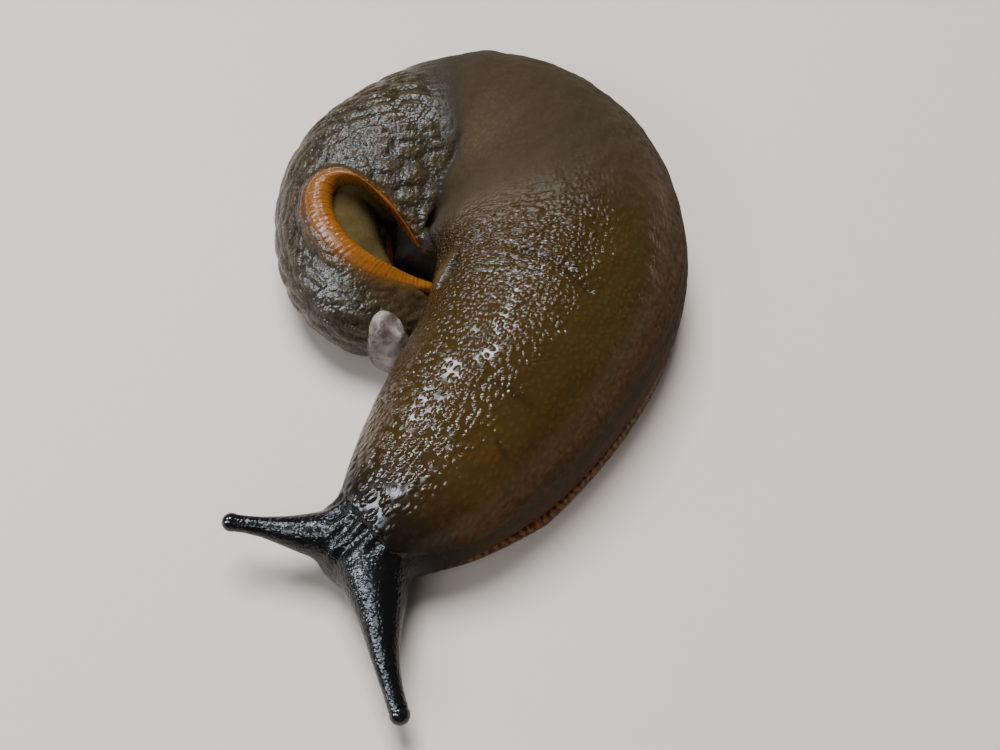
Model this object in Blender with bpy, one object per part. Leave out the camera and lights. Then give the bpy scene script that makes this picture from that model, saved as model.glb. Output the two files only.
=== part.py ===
"""A large round-backed slug at rest, life size, its hind end curled to its right.

The body is lofted along one smooth curve, the axis, from snout to tail. At each
place along it a section is an egg: a low half below the widest level, a high half
above it, cut off below by the foot. The section rolls onto its left side towards
the tail, so that the hairpin of the tail shows the rim of its foot.

All sizes below are in millimetres. The meshes are in metres, with Z up, and the
middle of the footprint is the origin.
"""

import math

import bmesh
import bpy
import numpy as np
from mathutils import Vector
from mathutils.geometry import tessellate_polygon

MM = 0.001

# The stations that shape the body, from the snout to the tail: x, y and height of
# the axis, half width, height of the section, roll onto the left side in degrees
# and half width of the foot. A B-spline runs through their midst.
STATIONS = [
    (-18.5, -22.0, 1.4, 1.4, 4.5, 0, 1.5),
    (-16.2, -19.7, 2.3, 4.0, 7.7, 0, 4.1),
    (-12.3, -16.8, 3.6, 6.8, 11.3, 0, 6.8),
    (-7.0, -12.1, 4.9, 10.2, 14.8, 0, 9.8),
    (-0.6, -3.9, 6.0, 12.5, 17.4, 0, 12.1),
    (7.2, 8.8, 6.8, 13.6, 18.9, 0, 13.2),
    (8.5, 16.6, 6.9, 14.5, 19.4, 0, 13.5),
    (6.0, 25.4, 7.0, 15.0, 19.4, 0, 13.8),
    (0.8, 31.7, 7.2, 14.9, 18.4, 4, 13.6),
    (-5.4, 34.0, 7.4, 13.0, 17.2, 12, 12.6),
    (-11.9, 31.2, 8.0, 10.4, 16.0, 28, 11.2),
    (-17.7, 27.9, 7.6, 7.9, 14.0, 62, 9.0),
    (-21.0, 23.9, 6.2, 6.2, 12.2, 134, 8.0),
    (-19.8, 15.2, 6.2, 6.0, 11.2, 124, 6.8),
    (-14.8, 9.6, 5.2, 5.6, 9.6, 94, 5.2),
    (-7.6, 10.3, 3.8, 3.6, 6.6, 90, 3.2),
]
CENTRE = (-3.859, 3.627)         # middle of the footprint, moved to the origin
GAP = 0.3                       # between pieces that touch
WIDEST = 0.38                   # height of the widest level, as a share of the section's
BEND_LIMIT = 0.86               # of the way to the centre of a bend, the furthest that skin reaches
BEND_SLOPE = 0.6                # growth of that reach along the axis, away from a tight bend
# The skirt on the right side behind the bend is drawn into the curl: share, then x, y, z.
DRAWN_IN = [
    (0.630, 0.0, 0.0, 0.0),
    (0.656, -2.0, -5.0, 0.0),
    (0.682, -1.9, -4.2, -1.3),
    (0.712, -1.1, -2.3, -1.0),
    (0.744, 0.0, 0.0, 0.0),
]
# The right flank bulges inside the bend: share, then x, y, z.
SWOLLEN = [
    (0.270, 0.0, 0.0, 0.0),
    (0.340, -1.3, 0.0, 0.0),
    (0.410, -3.0, 0.2, 0.0),
    (0.455, -2.1, 0.2, 0.0),
    (0.520, 0.0, 0.0, 0.0),
]
FOOT_SHARE = 0.3                # thickness of the foot, as a share of the widest level
FRINGE_WIDTH = 1.9
FRINGE_SHARE = 0.24             # and at most this share of the foot's half width

# Where one piece ends and the next begins, as shares of the axis from the snout.
HEAD_START = 0.012
FOOT_START = 0.024
HEAD_END = 0.034
MANTLE_START = 0.066
BODY_SPLIT = 0.345
MANTLE_END = 0.635
REAR_END = 0.745
TURN_END = 0.885

MANTLE_EDGE_ANGLE = 20.0        # of the mantle's lower edges above the level, in degrees
MANTLE_PROUD = 0.5              # above the flank
MANTLE_DEPTH = 1.6              # below the flank's level
MANTLE_CORNER = 0.13            # rounded ends, as a share of the mantle's length
MANTLE_END_WIDTH = 0.46
MANTLE_STEP = 2.2               # between rows along the mantle

TUBERCLE_HEIGHT = 0.5
TUBERCLE_LENGTH = 2.4
FRINGE_RIDGE = 0.16
HEAD_RIDGE = 0.32

SLIT_ENDS = ((0.303, 31.0), (0.352, 45.5))   # breathing hole: share of the axis, angle
SLIT_SIZE = (1.4, 2.4)          # across and deep
# The snout: mm ahead of the first section, its width and height there, mm raised.
SNOUT_RINGS = [
    (0.8, 0.94, 0.93, 0.0),
    (1.35, 0.8, 0.78, -0.1),
    (1.7, 0.62, 0.55, -0.3),
    (1.8, 0.5, 0.34, -0.5),
    (1.5, 0.4, 0.16, -0.55),
    (0.8, 0.3, 0.06, -0.55),
]

UPPER_TENTACLES = {
    "right": [(-16.4, -18.7, 5.0), (-20.5, -18.5, 6.0), (-24.8, -17.8, 6.6), (-28.4, -17.3, 7.0)],
    "left": [(-13.6, -21.0, 4.9), (-12.9, -25.4, 5.6), (-12.2, -31.8, 5.2), (-10.1, -37.2, 4.3)],
}
UPPER_RADII = {
    "right": (2.9, 2.6, 2.0, 1.6, 1.3, 1.15, 1.08),
    "left": (3.6, 3.5, 2.9, 2.1, 1.5, 1.22, 1.12),
}
LOWER_TENTACLES = {
    "right": [(-16.8, -20.3, 2.4), (-18.5, -20.9, 2.1), (-19.9, -21.4, 1.7)],
    "left": [(-15.6, -21.4, 2.2), (-16.2, -22.8, 2.0), (-16.8, -24.1, 1.6)],
}
LOWER_RADII = (1.0, 0.85, 0.72)
EYE_RADIUS = 1.2
GLAND_CENTRE = (-12.6, 4.7, 3.2)
GLAND_RADII = (3.5, 3.0, 3.5)

MATERIALS = {
    "mantle_skin": ((0.075, 0.050, 0.022, 1.0), 0.25),
    "back_skin": ((0.045, 0.036, 0.022, 1.0), 0.3),
    "head_skin": ((0.012, 0.012, 0.013, 1.0), 0.2),
    "foot_fringe": ((0.33, 0.11, 0.018, 1.0), 0.3),
    "foot_sole": ((0.13, 0.11, 0.06, 1.0), 0.35),
    "eye": ((0.004, 0.004, 0.005, 1.0), 0.08),
    "gland": ((0.42, 0.40, 0.38, 1.0), 0.2),
}


def clear_scene():
    for thing in list(bpy.data.objects):
        bpy.data.objects.remove(thing, do_unlink=True)


def material(name):
    made = bpy.data.materials.get(name)
    if made is None:
        colour, roughness = MATERIALS[name]
        made = bpy.data.materials.new(name)
        made.use_nodes = True
        shader = made.node_tree.nodes["Principled BSDF"]
        shader.inputs["Base Color"].default_value = colour
        shader.inputs["Roughness"].default_value = roughness
        shader.inputs["Metallic"].default_value = 0.0
        made.diffuse_color = colour
    return made


def b_spline(rows, t):
    """Uniform cubic B-spline that starts and ends at its first and last rows."""
    rows = np.asarray(rows, float)
    rows = np.vstack([2 * rows[0] - rows[1], rows, 2 * rows[-1] - rows[-2]])
    spans = len(rows) - 3
    x = np.clip(np.asarray(t, float), 0, 1) * spans
    i = np.minimum(x.astype(int), spans - 1)
    f = (x - i)[..., None]
    weights = (
        (1 - f) ** 3 / 6,
        (3 * f**3 - 6 * f**2 + 4) / 6,
        (-3 * f**3 + 3 * f**2 + 3 * f + 1) / 6,
        f**3 / 6,
    )
    return sum(w * rows[i + n] for n, w in enumerate(weights))


class Axis:
    """The body's axis by share of its length, with what each section needs."""

    def __init__(self):
        self.table = np.linspace(0, 1, 801)
        points = b_spline(STATIONS, self.table)[:, :3]
        steps = np.linalg.norm(np.diff(points, axis=0), axis=1)
        self.shares = np.concatenate([[0], np.cumsum(steps)])
        self.length = self.shares[-1]
        self.shares /= self.length
        window = 2.5e-2
        after = b_spline(STATIONS, np.minimum(self.table + window, 1))[:, :3]
        before = b_spline(STATIONS, np.maximum(self.table - window, 0))[:, :3]
        heading = (after - before) / np.linalg.norm(after - before, axis=1)[:, None]
        self.heading = heading
        turning = np.gradient(heading, self.shares * self.length, axis=0)
        blur = np.hanning(25) / np.hanning(25).sum()
        padded = np.pad(turning, ((12, 12), (0, 0)), "edge")
        self.turning = np.stack([np.convolve(padded[:, n], blur, "valid") for n in range(3)], 1)
        radius = 1 / (np.linalg.norm(self.turning, axis=1) + 1e-6)
        apart = np.abs(self.shares[:, None] - self.shares) * self.length
        self.radius = (radius + BEND_SLOPE * apart).min(axis=1)

    def sections(self, shares):
        t = np.interp(shares, self.shares, self.table)
        rows = b_spline(STATIONS, t)
        tangent = self.looked_up(self.heading, shares)
        tangent /= np.linalg.norm(tangent, axis=1)[:, None]
        level_up = np.array([0, 0, 1.0]) - tangent * tangent[:, 2:3]
        level_up /= np.linalg.norm(level_up, axis=1)[:, None]
        level_right = np.cross(-tangent, level_up)
        roll = np.radians(rows[:, 5])[:, None]
        foot = rows[:, 6:7]
        low = WIDEST * rows[:, 4:5]
        thick = FOOT_SHARE * low
        room = rows[:, 2:3] + GAP - (low - thick / 2) * np.cos(roll)
        left_foot = np.minimum(foot, room / np.maximum(np.sin(roll), 0.05))
        turning = self.looked_up(self.turning, shares)
        turning -= tangent * (turning * tangent).sum(1)[:, None]
        strength = np.linalg.norm(turning, axis=1)
        return {
            "centre": rows[:, :3],
            "tangent": tangent,
            "up": level_up * np.cos(roll) - level_right * np.sin(roll),
            "right": level_right * np.cos(roll) + level_up * np.sin(roll),
            "half": rows[:, 3:4],
            "high": rows[:, 4:5] - low,
            "low": low,
            "thick": thick,
            "foot": (foot, left_foot),
            "fringe": np.minimum(FRINGE_WIDTH, FRINGE_SHARE * foot),
            "drawn": self.moved(DRAWN_IN, shares),
            "swollen": self.moved(SWOLLEN, shares),
            "towards": turning / (strength[:, None] + 1e-9),
            "radius": np.interp(shares, self.shares, self.radius),
        }

    def moved(self, table, shares):
        knots = np.array(table)
        fine = np.linspace(knots[0, 0], knots[-1, 0], 60)
        moved = np.stack([np.interp(fine, knots[:, 0], knots[:, n]) for n in (1, 2, 3)], 1)
        blur = np.hanning(11) / np.hanning(11).sum()
        moved = np.stack([np.convolve(moved[:, n], blur, "same") for n in range(3)], 1)
        return np.stack([np.interp(shares, fine, moved[:, n], 0, 0) for n in range(3)], 1)

    def looked_up(self, rows, shares):
        return np.stack([np.interp(shares, self.shares, rows[:, n]) for n in range(3)], 1)


AXIS = Axis()


def smooth(value, low, high):
    """Zero below low and one above high, with an even slope at both."""
    share = np.clip((value - low) / (high - low), 0, 1)
    return share * share * (3 - 2 * share)


def place(section, p, q):
    """World points of the section coordinates p, to the right, and q, up."""
    offset = (
        section["right"][:, None] * p[..., None] + section["up"][:, None] * q[..., None]
    )
    towards = section["towards"][:, None]
    reach = (offset * towards).sum(-1)
    limit = BEND_LIMIT * section["radius"][:, None]
    start = 0.5 * limit
    past = np.maximum(reach - start, 0) / (limit - start)
    held = np.where(reach > start, start + (limit - start) * np.tanh(past), reach)
    points = section["centre"][:, None] + offset + towards * (held - reach)[..., None]
    sideways = smooth(p / section["half"], 0.0, 0.8)
    low_down = 1 - smooth(q, -0.3 * section["low"], 0.55 * section["high"])
    points = points + section["drawn"][:, None] * (sideways * low_down)[..., None]
    points = points + section["swollen"][:, None] * sideways[..., None]
    points[..., 2] = np.maximum(points[..., 2], 0)
    points[..., 0] -= CENTRE[0]
    points[..., 1] -= CENTRE[1]
    return points


def egg(section, angles, proud=0.0):
    """Section coordinates of the egg at the given angles, proud millimetres outside."""
    c, s = np.cos(angles), np.sin(angles)
    p = (section["half"] + proud) * c
    q = np.where(s > 0, (section["high"] + proud) * s, (section["low"] + proud) * s)
    return p, q


def between(start, end, step):
    """Shares from start to end, half a gap short of each, step millimetres apart."""
    half_gap = 0.5 * GAP / AXIS.length
    count = max(2, round((end - start) * AXIS.length / step) + 1)
    return np.linspace(start + half_gap, end - half_gap, count)


def halved(shares):
    """The rows and those midway between them."""
    return np.sort(np.concatenate([shares, (shares[1:] + shares[:-1]) / 2]))


def add_object(name, bm, skin):
    bmesh.ops.recalc_face_normals(bm, faces=bm.faces)
    if bm.calc_volume(signed=True) < 0:
        bmesh.ops.reverse_faces(bm, faces=bm.faces)
    mesh = bpy.data.meshes.new(name)
    bm.to_mesh(mesh)
    bm.free()
    mesh.materials.append(material(skin))
    thing = bpy.data.objects.new(name, mesh)
    bpy.context.scene.collection.objects.link(thing)
    return thing


def lofted(points, first_outline, last_outline, valleys=None):
    """A closed mesh through rows of closed outlines, its two ends filled.

    Where valleys is given, each four-sided face is split so that its fold joins
    the corners for which valleys is true.
    """
    bm = bmesh.new()
    rows, count = points.shape[:2]
    grid = [[bm.verts.new(points[i, j] * MM) for j in range(count)] for i in range(rows)]
    for i in range(rows - 1):
        for j in range(count):
            k = (j + 1) % count
            a, b, c, d = grid[i][j], grid[i][k], grid[i + 1][k], grid[i + 1][j]
            if valleys is not None and valleys[i, k] and valleys[i + 1, j]:
                bm.faces.new((a, b, d))
                bm.faces.new((b, c, d))
            else:
                bm.faces.new((a, b, c))
                bm.faces.new((a, c, d))
    for row, outline in ((0, first_outline), (rows - 1, last_outline)):
        flat = [Vector((x, y, 0)) for x, y in zip(*outline)]
        for corner in tessellate_polygon([flat]):
            bm.faces.new([grid[row][n] for n in corner])
    return bm


def loft(name, shares, outline, skin, valleys=None):
    """One node along the axis. outline gives p and q of every row of its section."""
    section = AXIS.sections(shares)
    p, q = outline(section, shares)
    bm = lofted(place(section, p, q), (p[0], q[0]), (p[-1], q[-1]), valleys)
    return add_object(name, bm, skin)


def floor_line(section, side):
    """Points from right to left across the top of the sole, side millimetres above it.

    The flesh above turns its corners at the second and the last but one of them.
    """
    right, left = (foot - section["fringe"] - GAP / 2 for foot in section["foot"])
    corner = section["half"] * np.cos(corner_angle(section))
    corner_right = np.minimum(corner, 0.96 * right)
    corner_left = np.minimum(corner, 0.96 * left)
    p = np.hstack([right, corner_right, corner_right / 2, 0 * corner,
                   -corner_left / 2, -corner_left, -left])
    q = np.broadcast_to(-section["low"] + section["thick"] + side, p.shape)
    return p, q


def corner_angle(section):
    """Angle below the level at which the flank ends above the foot."""
    low = section["low"]
    return np.arcsin((low - section["thick"] - GAP / 2) / low)


def flesh_outline(flank=5, back=21, ridges=None):
    """Body above the foot with its whole back, as on the head and behind the mantle."""

    def outline(section, shares):
        dip = corner_angle(section)
        count = 2 * flank + back
        share = np.linspace(0, 1, count)
        angles = -dip + (math.pi + 2 * dip) * share
        lift = 0.0 if ridges is None else ridges(section, shares, angles)
        p, q = egg(section, angles, lift)
        under_p, under_q = floor_line(section, GAP / 2)
        inner = slice(2, -2)
        p = np.concatenate([p, under_p[:, ::-1][:, inner]], axis=1)
        q = np.concatenate([q, under_q[:, ::-1][:, inner]], axis=1)
        return p, q

    return outline


def mantle_reach(shares):
    """Half the angle that the mantle covers, narrower at its rounded ends."""
    u = (shares - MANTLE_START) / (MANTLE_END - MANTLE_START)
    near_end = np.clip(np.minimum(u, 1 - u) / MANTLE_CORNER, 0, 1)
    rounded = np.sqrt(1 - (1 - near_end) ** 2)
    full = math.radians(90 - MANTLE_EDGE_ANGLE)
    return (full * (MANTLE_END_WIDTH + (1 - MANTLE_END_WIDTH) * rounded))[:, None]


def bed_reach(section, shares):
    """Half the angle of the mantle's bed, wider by the gap measured square to the edge."""
    reach = mantle_reach(shares)
    run = np.diff(shares)[:, None] * AXIS.length
    slope = np.abs(np.diff(reach, axis=0)) * section["half"][1:] / run
    steepest = np.maximum(np.vstack([slope[:1], slope]), np.vstack([slope, slope[-1:]]))
    return reach + GAP / section["half"] * np.sqrt(1 + steepest**2)


def mantle_rows(start, end):
    """Rows that the mantle shares with the body under it, between two shares."""
    whole = between(MANTLE_START, MANTLE_END, MANTLE_STEP)
    half_gap = 0.5 * GAP / AXIS.length
    inside = whole[(whole > start + 2 * half_gap) & (whole < end - 2 * half_gap)]
    return np.concatenate([[start + half_gap], inside, [end - half_gap]])


def mantle_outline(count=18):
    def outline(section, shares):
        reach = mantle_reach(shares)
        share = np.linspace(-1, 1, count)
        angles = math.pi / 2 + reach * share
        rim = np.clip((1 - np.abs(share)) * count / 4, 0, 1)
        proud = MANTLE_PROUD * np.sqrt(1 - (1 - rim) ** 2) * (0.7 + 0.3 * rim)
        outer_p, outer_q = egg(section, angles, proud)
        inner_p, inner_q = egg(section, angles[:, ::-1], -MANTLE_DEPTH)
        return np.hstack([outer_p, inner_p]), np.hstack([outer_q, inner_q])

    return outline


def saddle_outline(flank=5, back=12):
    """Body under the mantle: its flanks show, its back is sunk to bed the mantle."""

    def outline(section, shares):
        dip = corner_angle(section)
        reach = bed_reach(section, shares)
        low_right = np.linspace(0, 1, flank)
        right = -dip + (math.pi / 2 - reach + dip) * low_right
        bed = math.pi / 2 + reach * np.linspace(-1, 1, back)
        left = math.pi - right[:, ::-1]
        pieces = [
            egg(section, right),
            egg(section, bed, -MANTLE_DEPTH - GAP),
            egg(section, left),
        ]
        under_p, under_q = floor_line(section, GAP / 2)
        inner = slice(2, -2)
        p = [piece[0] for piece in pieces] + [under_p[:, ::-1][:, inner]]
        q = [piece[1] for piece in pieces] + [under_q[:, ::-1][:, inner]]
        return np.hstack(p), np.hstack(q)

    return outline


def sole_outline(section, shares):
    top_p, top_q = floor_line(section, -GAP / 2)
    bottom_p = top_p[:, ::-1][:, [0, 2, 3, 4, 6]]
    bottom_q = np.broadcast_to(-section["low"], bottom_p.shape)
    return np.hstack([top_p, bottom_p]), np.hstack([top_q, bottom_q])


def fringe_outline(side):
    """Rim of the foot on one side, its edge raised in cross ridges."""

    def outline(section, shares):
        edge = section["foot"][0 if side > 0 else 1]
        width = section["fringe"]
        ridge = np.where(np.arange(len(shares)) % 2, 1.0, -1.0)[:, None] * FRINGE_RIDGE
        ridge *= width / FRINGE_WIDTH
        low, thick = section["low"], section["thick"]
        inner = edge - width + GAP / 2
        p = np.hstack([inner, edge - 0.3 * width, edge + ridge, edge + ridge,
                       edge - 0.35 * width, inner])
        top = thick - GAP
        q = np.hstack([0 * low, 0 * low, 0.3 * thick, 0.62 * thick, top, top])
        return side * p, q - low

    return outline


def round_mesh(points, radii, sides=12, start_cap=True):
    """A tube along points with a round tip."""
    path = b_spline(points, np.linspace(0, 1, 13))
    radius = np.interp(np.linspace(0, 1, 13), np.linspace(0, 1, len(radii)), radii)
    heading = np.gradient(path, axis=0)
    heading /= np.linalg.norm(heading, axis=1)[:, None]
    across = np.cross(heading, [0, 0, 1.0])
    across /= np.linalg.norm(across, axis=1)[:, None]
    above = np.cross(across, heading)
    angles = np.linspace(0, 2 * math.pi, sides, endpoint=False)
    ring = across[:, None] * np.cos(angles)[:, None] + above[:, None] * np.sin(angles)[:, None]
    rows = path[:, None] + ring * radius[:, None, None]
    return rows, path, heading, radius


def tube(points, radii, tip_rings=3, sides=12):
    """Closed tentacle mesh. Its tip is a half ball."""
    rows, path, heading, radius = round_mesh(points, radii, sides)
    ring = rows[-1] - path[-1]
    extra = []
    for n in range(1, tip_rings + 1):
        angle = n / (tip_rings + 0.35) * math.pi / 2
        extra.append(path[-1] + ring * math.cos(angle) + heading[-1] * radius[-1] * math.sin(angle))
    if extra:
        rows = np.concatenate([rows, np.array(extra)])
    rows = rows - np.array([CENTRE[0], CENTRE[1], 0])
    angles = np.linspace(0, 2 * math.pi, sides, endpoint=False)
    outline = (np.cos(angles), np.sin(angles))
    return lofted(rows, outline, outline)


def cut(thing, cutters, solver="EXACT"):
    """Takes the cutters out of thing, keeps its largest piece and removes the cutters.

    MANIFOLD is for a cutter shaped as the body, because EXACT loses the piece where
    the cutter's skin lies pressed flat on the floor.
    """
    group = bpy.data.collections.new("cutters")
    for cutter in cutters:
        for owner in list(cutter.users_collection):
            owner.objects.unlink(cutter)
        group.objects.link(cutter)
    bpy.context.scene.collection.children.link(group)
    step = thing.modifiers.new("cut", "BOOLEAN")
    step.operation = "DIFFERENCE"
    step.operand_type = "COLLECTION"
    step.collection = group
    step.solver = solver
    evaluated = thing.evaluated_get(bpy.context.evaluated_depsgraph_get())
    mesh = bpy.data.meshes.new_from_object(evaluated)
    thing.modifiers.remove(step)
    skin = thing.data.materials[0]
    thing.data = mesh
    mesh.materials.clear()
    mesh.materials.append(skin)
    for cutter in cutters:
        bpy.data.objects.remove(cutter, do_unlink=True)
    bpy.data.collections.remove(group)
    keep_largest(mesh)


def keep_largest(mesh):
    bm = bmesh.new()
    bm.from_mesh(mesh)
    bmesh.ops.remove_doubles(bm, verts=bm.verts, dist=1e-6)
    left = set(bm.faces)
    groups = []
    while left:
        seed = left.pop()
        group = {seed}
        queue = [seed]
        while queue:
            face = queue.pop()
            for edge in face.edges:
                for other in edge.link_faces:
                    if other in left:
                        left.remove(other)
                        group.add(other)
                        queue.append(other)
        groups.append(group)
    groups.sort(key=lambda g: sum(f.calc_area() for f in g))
    for group in groups[:-1]:
        bmesh.ops.delete(bm, geom=list(group), context="FACES")
    loose = [v for v in bm.verts if not v.link_faces]
    bmesh.ops.delete(bm, geom=loose, context="VERTS")
    bmesh.ops.triangulate(bm, faces=bm.faces)
    bm.to_mesh(mesh)
    bm.free()


def grown_body(start, end, grow):
    """Closed cutter: the whole body with its foot, grow millimetres larger all round."""
    shares = np.linspace(start, end, max(4, round((end - start) * AXIS.length / 1.5)))
    section = AXIS.sections(shares)
    angles = np.linspace(-math.pi / 2, 1.5 * math.pi, 37)[:-1]
    p, q = egg(section, np.broadcast_to(angles, (len(shares), len(angles))), grow)
    c = np.cos(angles)
    in_foot = q < -section["low"] + section["thick"] + grow
    right, left = section["foot"]
    wide = np.where(c > 0, right + grow, left + grow)
    deep = np.minimum(1.0, 3.2 * np.abs(c)) * np.sign(c) * wide
    p = np.where(in_foot, deep, p)
    points = place(section, p, q)
    points[..., 2] = np.where(points[..., 2] <= 0, -1.0, points[..., 2])
    return add_object("cutter", lofted(points, (p[0], q[0]), (p[-1], q[-1])), "back_skin")


def head_ridges(section, shares, angles):
    """Long folds on the back of the head, every second column raised."""
    column = np.where(np.arange(angles.shape[1]) % 2, 1.0, 0.0)
    on_back = np.clip((np.sin(angles) - 0.3) * 2.5, 0, 1)
    along = np.clip((shares - 0.008) / 0.012, 0, 1)[:, None]
    return HEAD_RIDGE * column * on_back * along


def tubercles(seed):
    """Raised diamonds of the rough back behind the mantle."""
    draw = np.random.default_rng(seed)

    def lift(section, shares, angles):
        rows, count = angles.shape
        i, j = np.indices((rows, count))
        raised = ((i + j) % 2 == 0) & (i > 0) & (i < rows - 1) & (j > 1) & (j < count - 2)
        height = TUBERCLE_HEIGHT * draw.uniform(0.75, 1.15, (rows, count))
        size = np.clip(section["half"] / 6.0, 0.45, 1.0)
        return np.where(raised, height * size, 0.0)

    return lift


def build_head():
    """Head whose snout rounds in to two lips, with the mouth a slit between them."""
    shares = between(HEAD_START, HEAD_END, 0.7)
    section = AXIS.sections(shares)
    p, q = flesh_outline(5, 13, head_ridges)(section, shares)
    points = place(section, p, q)
    ahead, right, up = -section["tangent"][0], section["right"][0], section["up"][0]
    middle = points[0].mean(axis=0)
    out = points[0] - middle
    snout = []
    for forward, width, height, raised in SNOUT_RINGS[::-1]:
        ring = middle + ahead * forward + up * raised
        ring = ring + np.outer(out @ right, right) * width + np.outer(out @ up, up) * height
        ring[:, 2] = np.maximum(ring[:, 2], 0)
        snout.append(ring)
    points = np.concatenate([np.array(snout), points])
    return add_object("head", lofted(points, (p[0], q[0]), (p[-1], q[-1])), "head_skin")


def build_body():
    loft("neck", between(HEAD_END, MANTLE_START, 1.2), flesh_outline(5, 13, head_ridges), "head_skin")
    loft("body_front", mantle_rows(MANTLE_START, BODY_SPLIT), saddle_outline(), "back_skin")
    loft("body_middle", mantle_rows(BODY_SPLIT, MANTLE_END), saddle_outline(), "back_skin")
    lengths = (("body_rear", MANTLE_END, REAR_END), ("body_turn", REAR_END, TURN_END), ("tail", TURN_END, 1.0))
    for seed, (name, start, end) in enumerate(lengths):
        shares = between(start, end, TUBERCLE_LENGTH / 2)
        outline = flesh_outline(6, 24, tubercles(seed))
        count = 2 * 6 + 24 + 3
        i, j = np.indices((len(shares), count))
        valleys = (i + j) % 2 == 1
        piece = loft(name, shares, outline, "back_skin", valleys)
        if name == "tail":
            cut(piece, [flank_cutter()], "MANIFOLD")


def build_mantle():
    rows = between(MANTLE_START, MANTLE_END, MANTLE_STEP)
    mantle = loft("mantle", rows, mantle_outline(), "mantle_skin")
    section = AXIS.sections(np.array([end[0] for end in SLIT_ENDS]))
    turn = np.radians([[end[1]] for end in SLIT_ENDS])
    first, last = (Vector(end[0]) for end in place(section, *egg(section, turn, MANTLE_PROUD)))
    inside = Vector(place(section, *egg(section, turn, -2.0)).mean(axis=(0, 1)))
    spot = (first + last) / 2
    along = last - first
    outward = (spot - inside).normalized()
    across = outward.cross(along).normalized()
    bm = bmesh.new()
    bmesh.ops.create_icosphere(bm, subdivisions=2, radius=1.0)
    for vert in bm.verts:
        x, y, z = vert.co
        push = along * (x / 2) + across * (y * SLIT_SIZE[0] / 2)
        vert.co = (spot + push + outward * (z * SLIT_SIZE[1] / 2)) * MM
    cut(mantle, [add_object("slit_cutter", bm, "mantle_skin")])


def flank_cutter():
    """Fore part of the body grown by the gap, against which the tail lies."""
    return grown_body(0.14, 0.46, GAP + MANTLE_PROUD)


def build_foot():
    fore_rows = between(FOOT_START, MANTLE_START, MANTLE_STEP / 2)
    stretches = {
        "front": np.concatenate([fore_rows, halved(mantle_rows(MANTLE_START, BODY_SPLIT))]),
        "middle": halved(mantle_rows(BODY_SPLIT, MANTLE_END)),
        "rear": between(MANTLE_END, REAR_END, TUBERCLE_LENGTH / 2),
        "turn": between(REAR_END, TURN_END, TUBERCLE_LENGTH / 2),
        "tail": between(TURN_END, 1.0, TUBERCLE_LENGTH / 2),
    }
    for name, shares in stretches.items():
        pieces = [loft(f"sole_{name}", shares, sole_outline, "foot_sole")]
        pieces.append(loft(f"fringe_right_{name}", shares, fringe_outline(1), "foot_fringe"))
        pieces.append(loft(f"fringe_left_{name}", shares, fringe_outline(-1), "foot_fringe"))
        if name == "tail":
            for piece in pieces:
                cut(piece, [flank_cutter()], "MANIFOLD")


def head_cutter():
    """Head and neck grown by the gap, to trim the roots of the tentacles."""
    shares = np.linspace(HEAD_START, MANTLE_START, 14)
    section = AXIS.sections(shares)
    p, q = flesh_outline(5, 13, head_ridges)(section, shares)
    points = place(section, p, q)
    middle = points.mean(axis=1, keepdims=True)
    out = points - middle
    out *= 1 + GAP / np.linalg.norm(out, axis=2)[..., None]
    points = middle + out
    ahead = -section["tangent"][0]
    front = [middle[0] + out[0] * size + ahead * forward for forward, size in ((2.1, 0.6), (1.2, 0.93))]
    points = np.concatenate([np.array(front), points])
    return add_object("cutter", lofted(points, (p[0], q[0]), (p[-1], q[-1])), "head_skin")


def build_tentacles():
    for side, points in UPPER_TENTACLES.items():
        radii = UPPER_RADII[side]
        arm = add_object(f"tentacle_upper_{side}", tube(points, radii, 0), "head_skin")
        cutters = [head_cutter(), grown_body(MANTLE_START, 0.13, GAP + MANTLE_PROUD)]
        if side == "right":
            wider = tuple(r + GAP for r in UPPER_RADII["left"])
            left = tube(UPPER_TENTACLES["left"], wider, 0)
            cutters.append(add_object("cutter", left, "head_skin"))
        cut(arm, cutters, "MANIFOLD")
        rows, path, heading, radius = round_mesh(points, radii)
        build_eye(f"eye_{side}", path[-1], heading[-1])
    for side, points in LOWER_TENTACLES.items():
        arm = add_object(f"tentacle_lower_{side}", tube(points, LOWER_RADII, 2, 8), "head_skin")
        cut(arm, [head_cutter()])


def build_eye(name, tip, heading):
    """Round end of an upper tentacle, which holds the eye."""
    tip = Vector(tip)
    heading = Vector(heading)
    across = heading.cross(Vector((0, 0, 1))).normalized()
    above = across.cross(heading)
    start = GAP
    bm = bmesh.new()
    rings = []
    for n in range(5):
        along = start + (EYE_RADIUS * 1.35 - start) * n / 4.6
        radius = math.sqrt(max(EYE_RADIUS**2 - (along / 1.35) ** 2, 0.01))
        ring = []
        for k in range(12):
            angle = 2 * math.pi * k / 12
            spot = tip + heading * along + (across * math.cos(angle) + above * math.sin(angle)) * radius
            ring.append(spot - Vector((CENTRE[0], CENTRE[1], 0)))
        rings.append(ring)
    points = np.array([[tuple(v) for v in ring] for ring in rings])
    angles = np.linspace(0, 2 * math.pi, 12, endpoint=False)
    outline = (np.cos(angles), np.sin(angles))
    bm.free()
    add_object(name, lofted(points, outline, outline), "eye")


def build_gland():
    bm = bmesh.new()
    bmesh.ops.create_icosphere(bm, subdivisions=2, radius=1.0)
    for vert in bm.verts:
        for n in range(3):
            shift = CENTRE[n] if n < 2 else 0
            vert.co[n] = (vert.co[n] * GLAND_RADII[n] + GLAND_CENTRE[n] - shift) * MM
        vert.co.z = max(vert.co.z, 0.0)
    gland = add_object("tail_gland", bm, "gland")
    cut(gland, [flank_cutter(), grown_body(0.86, 1.0, GAP + TUBERCLE_HEIGHT)], "MANIFOLD")


def main():
    clear_scene()
    build_head()
    build_body()
    build_mantle()
    build_foot()
    build_tentacles()
    build_gland()


main()
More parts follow.
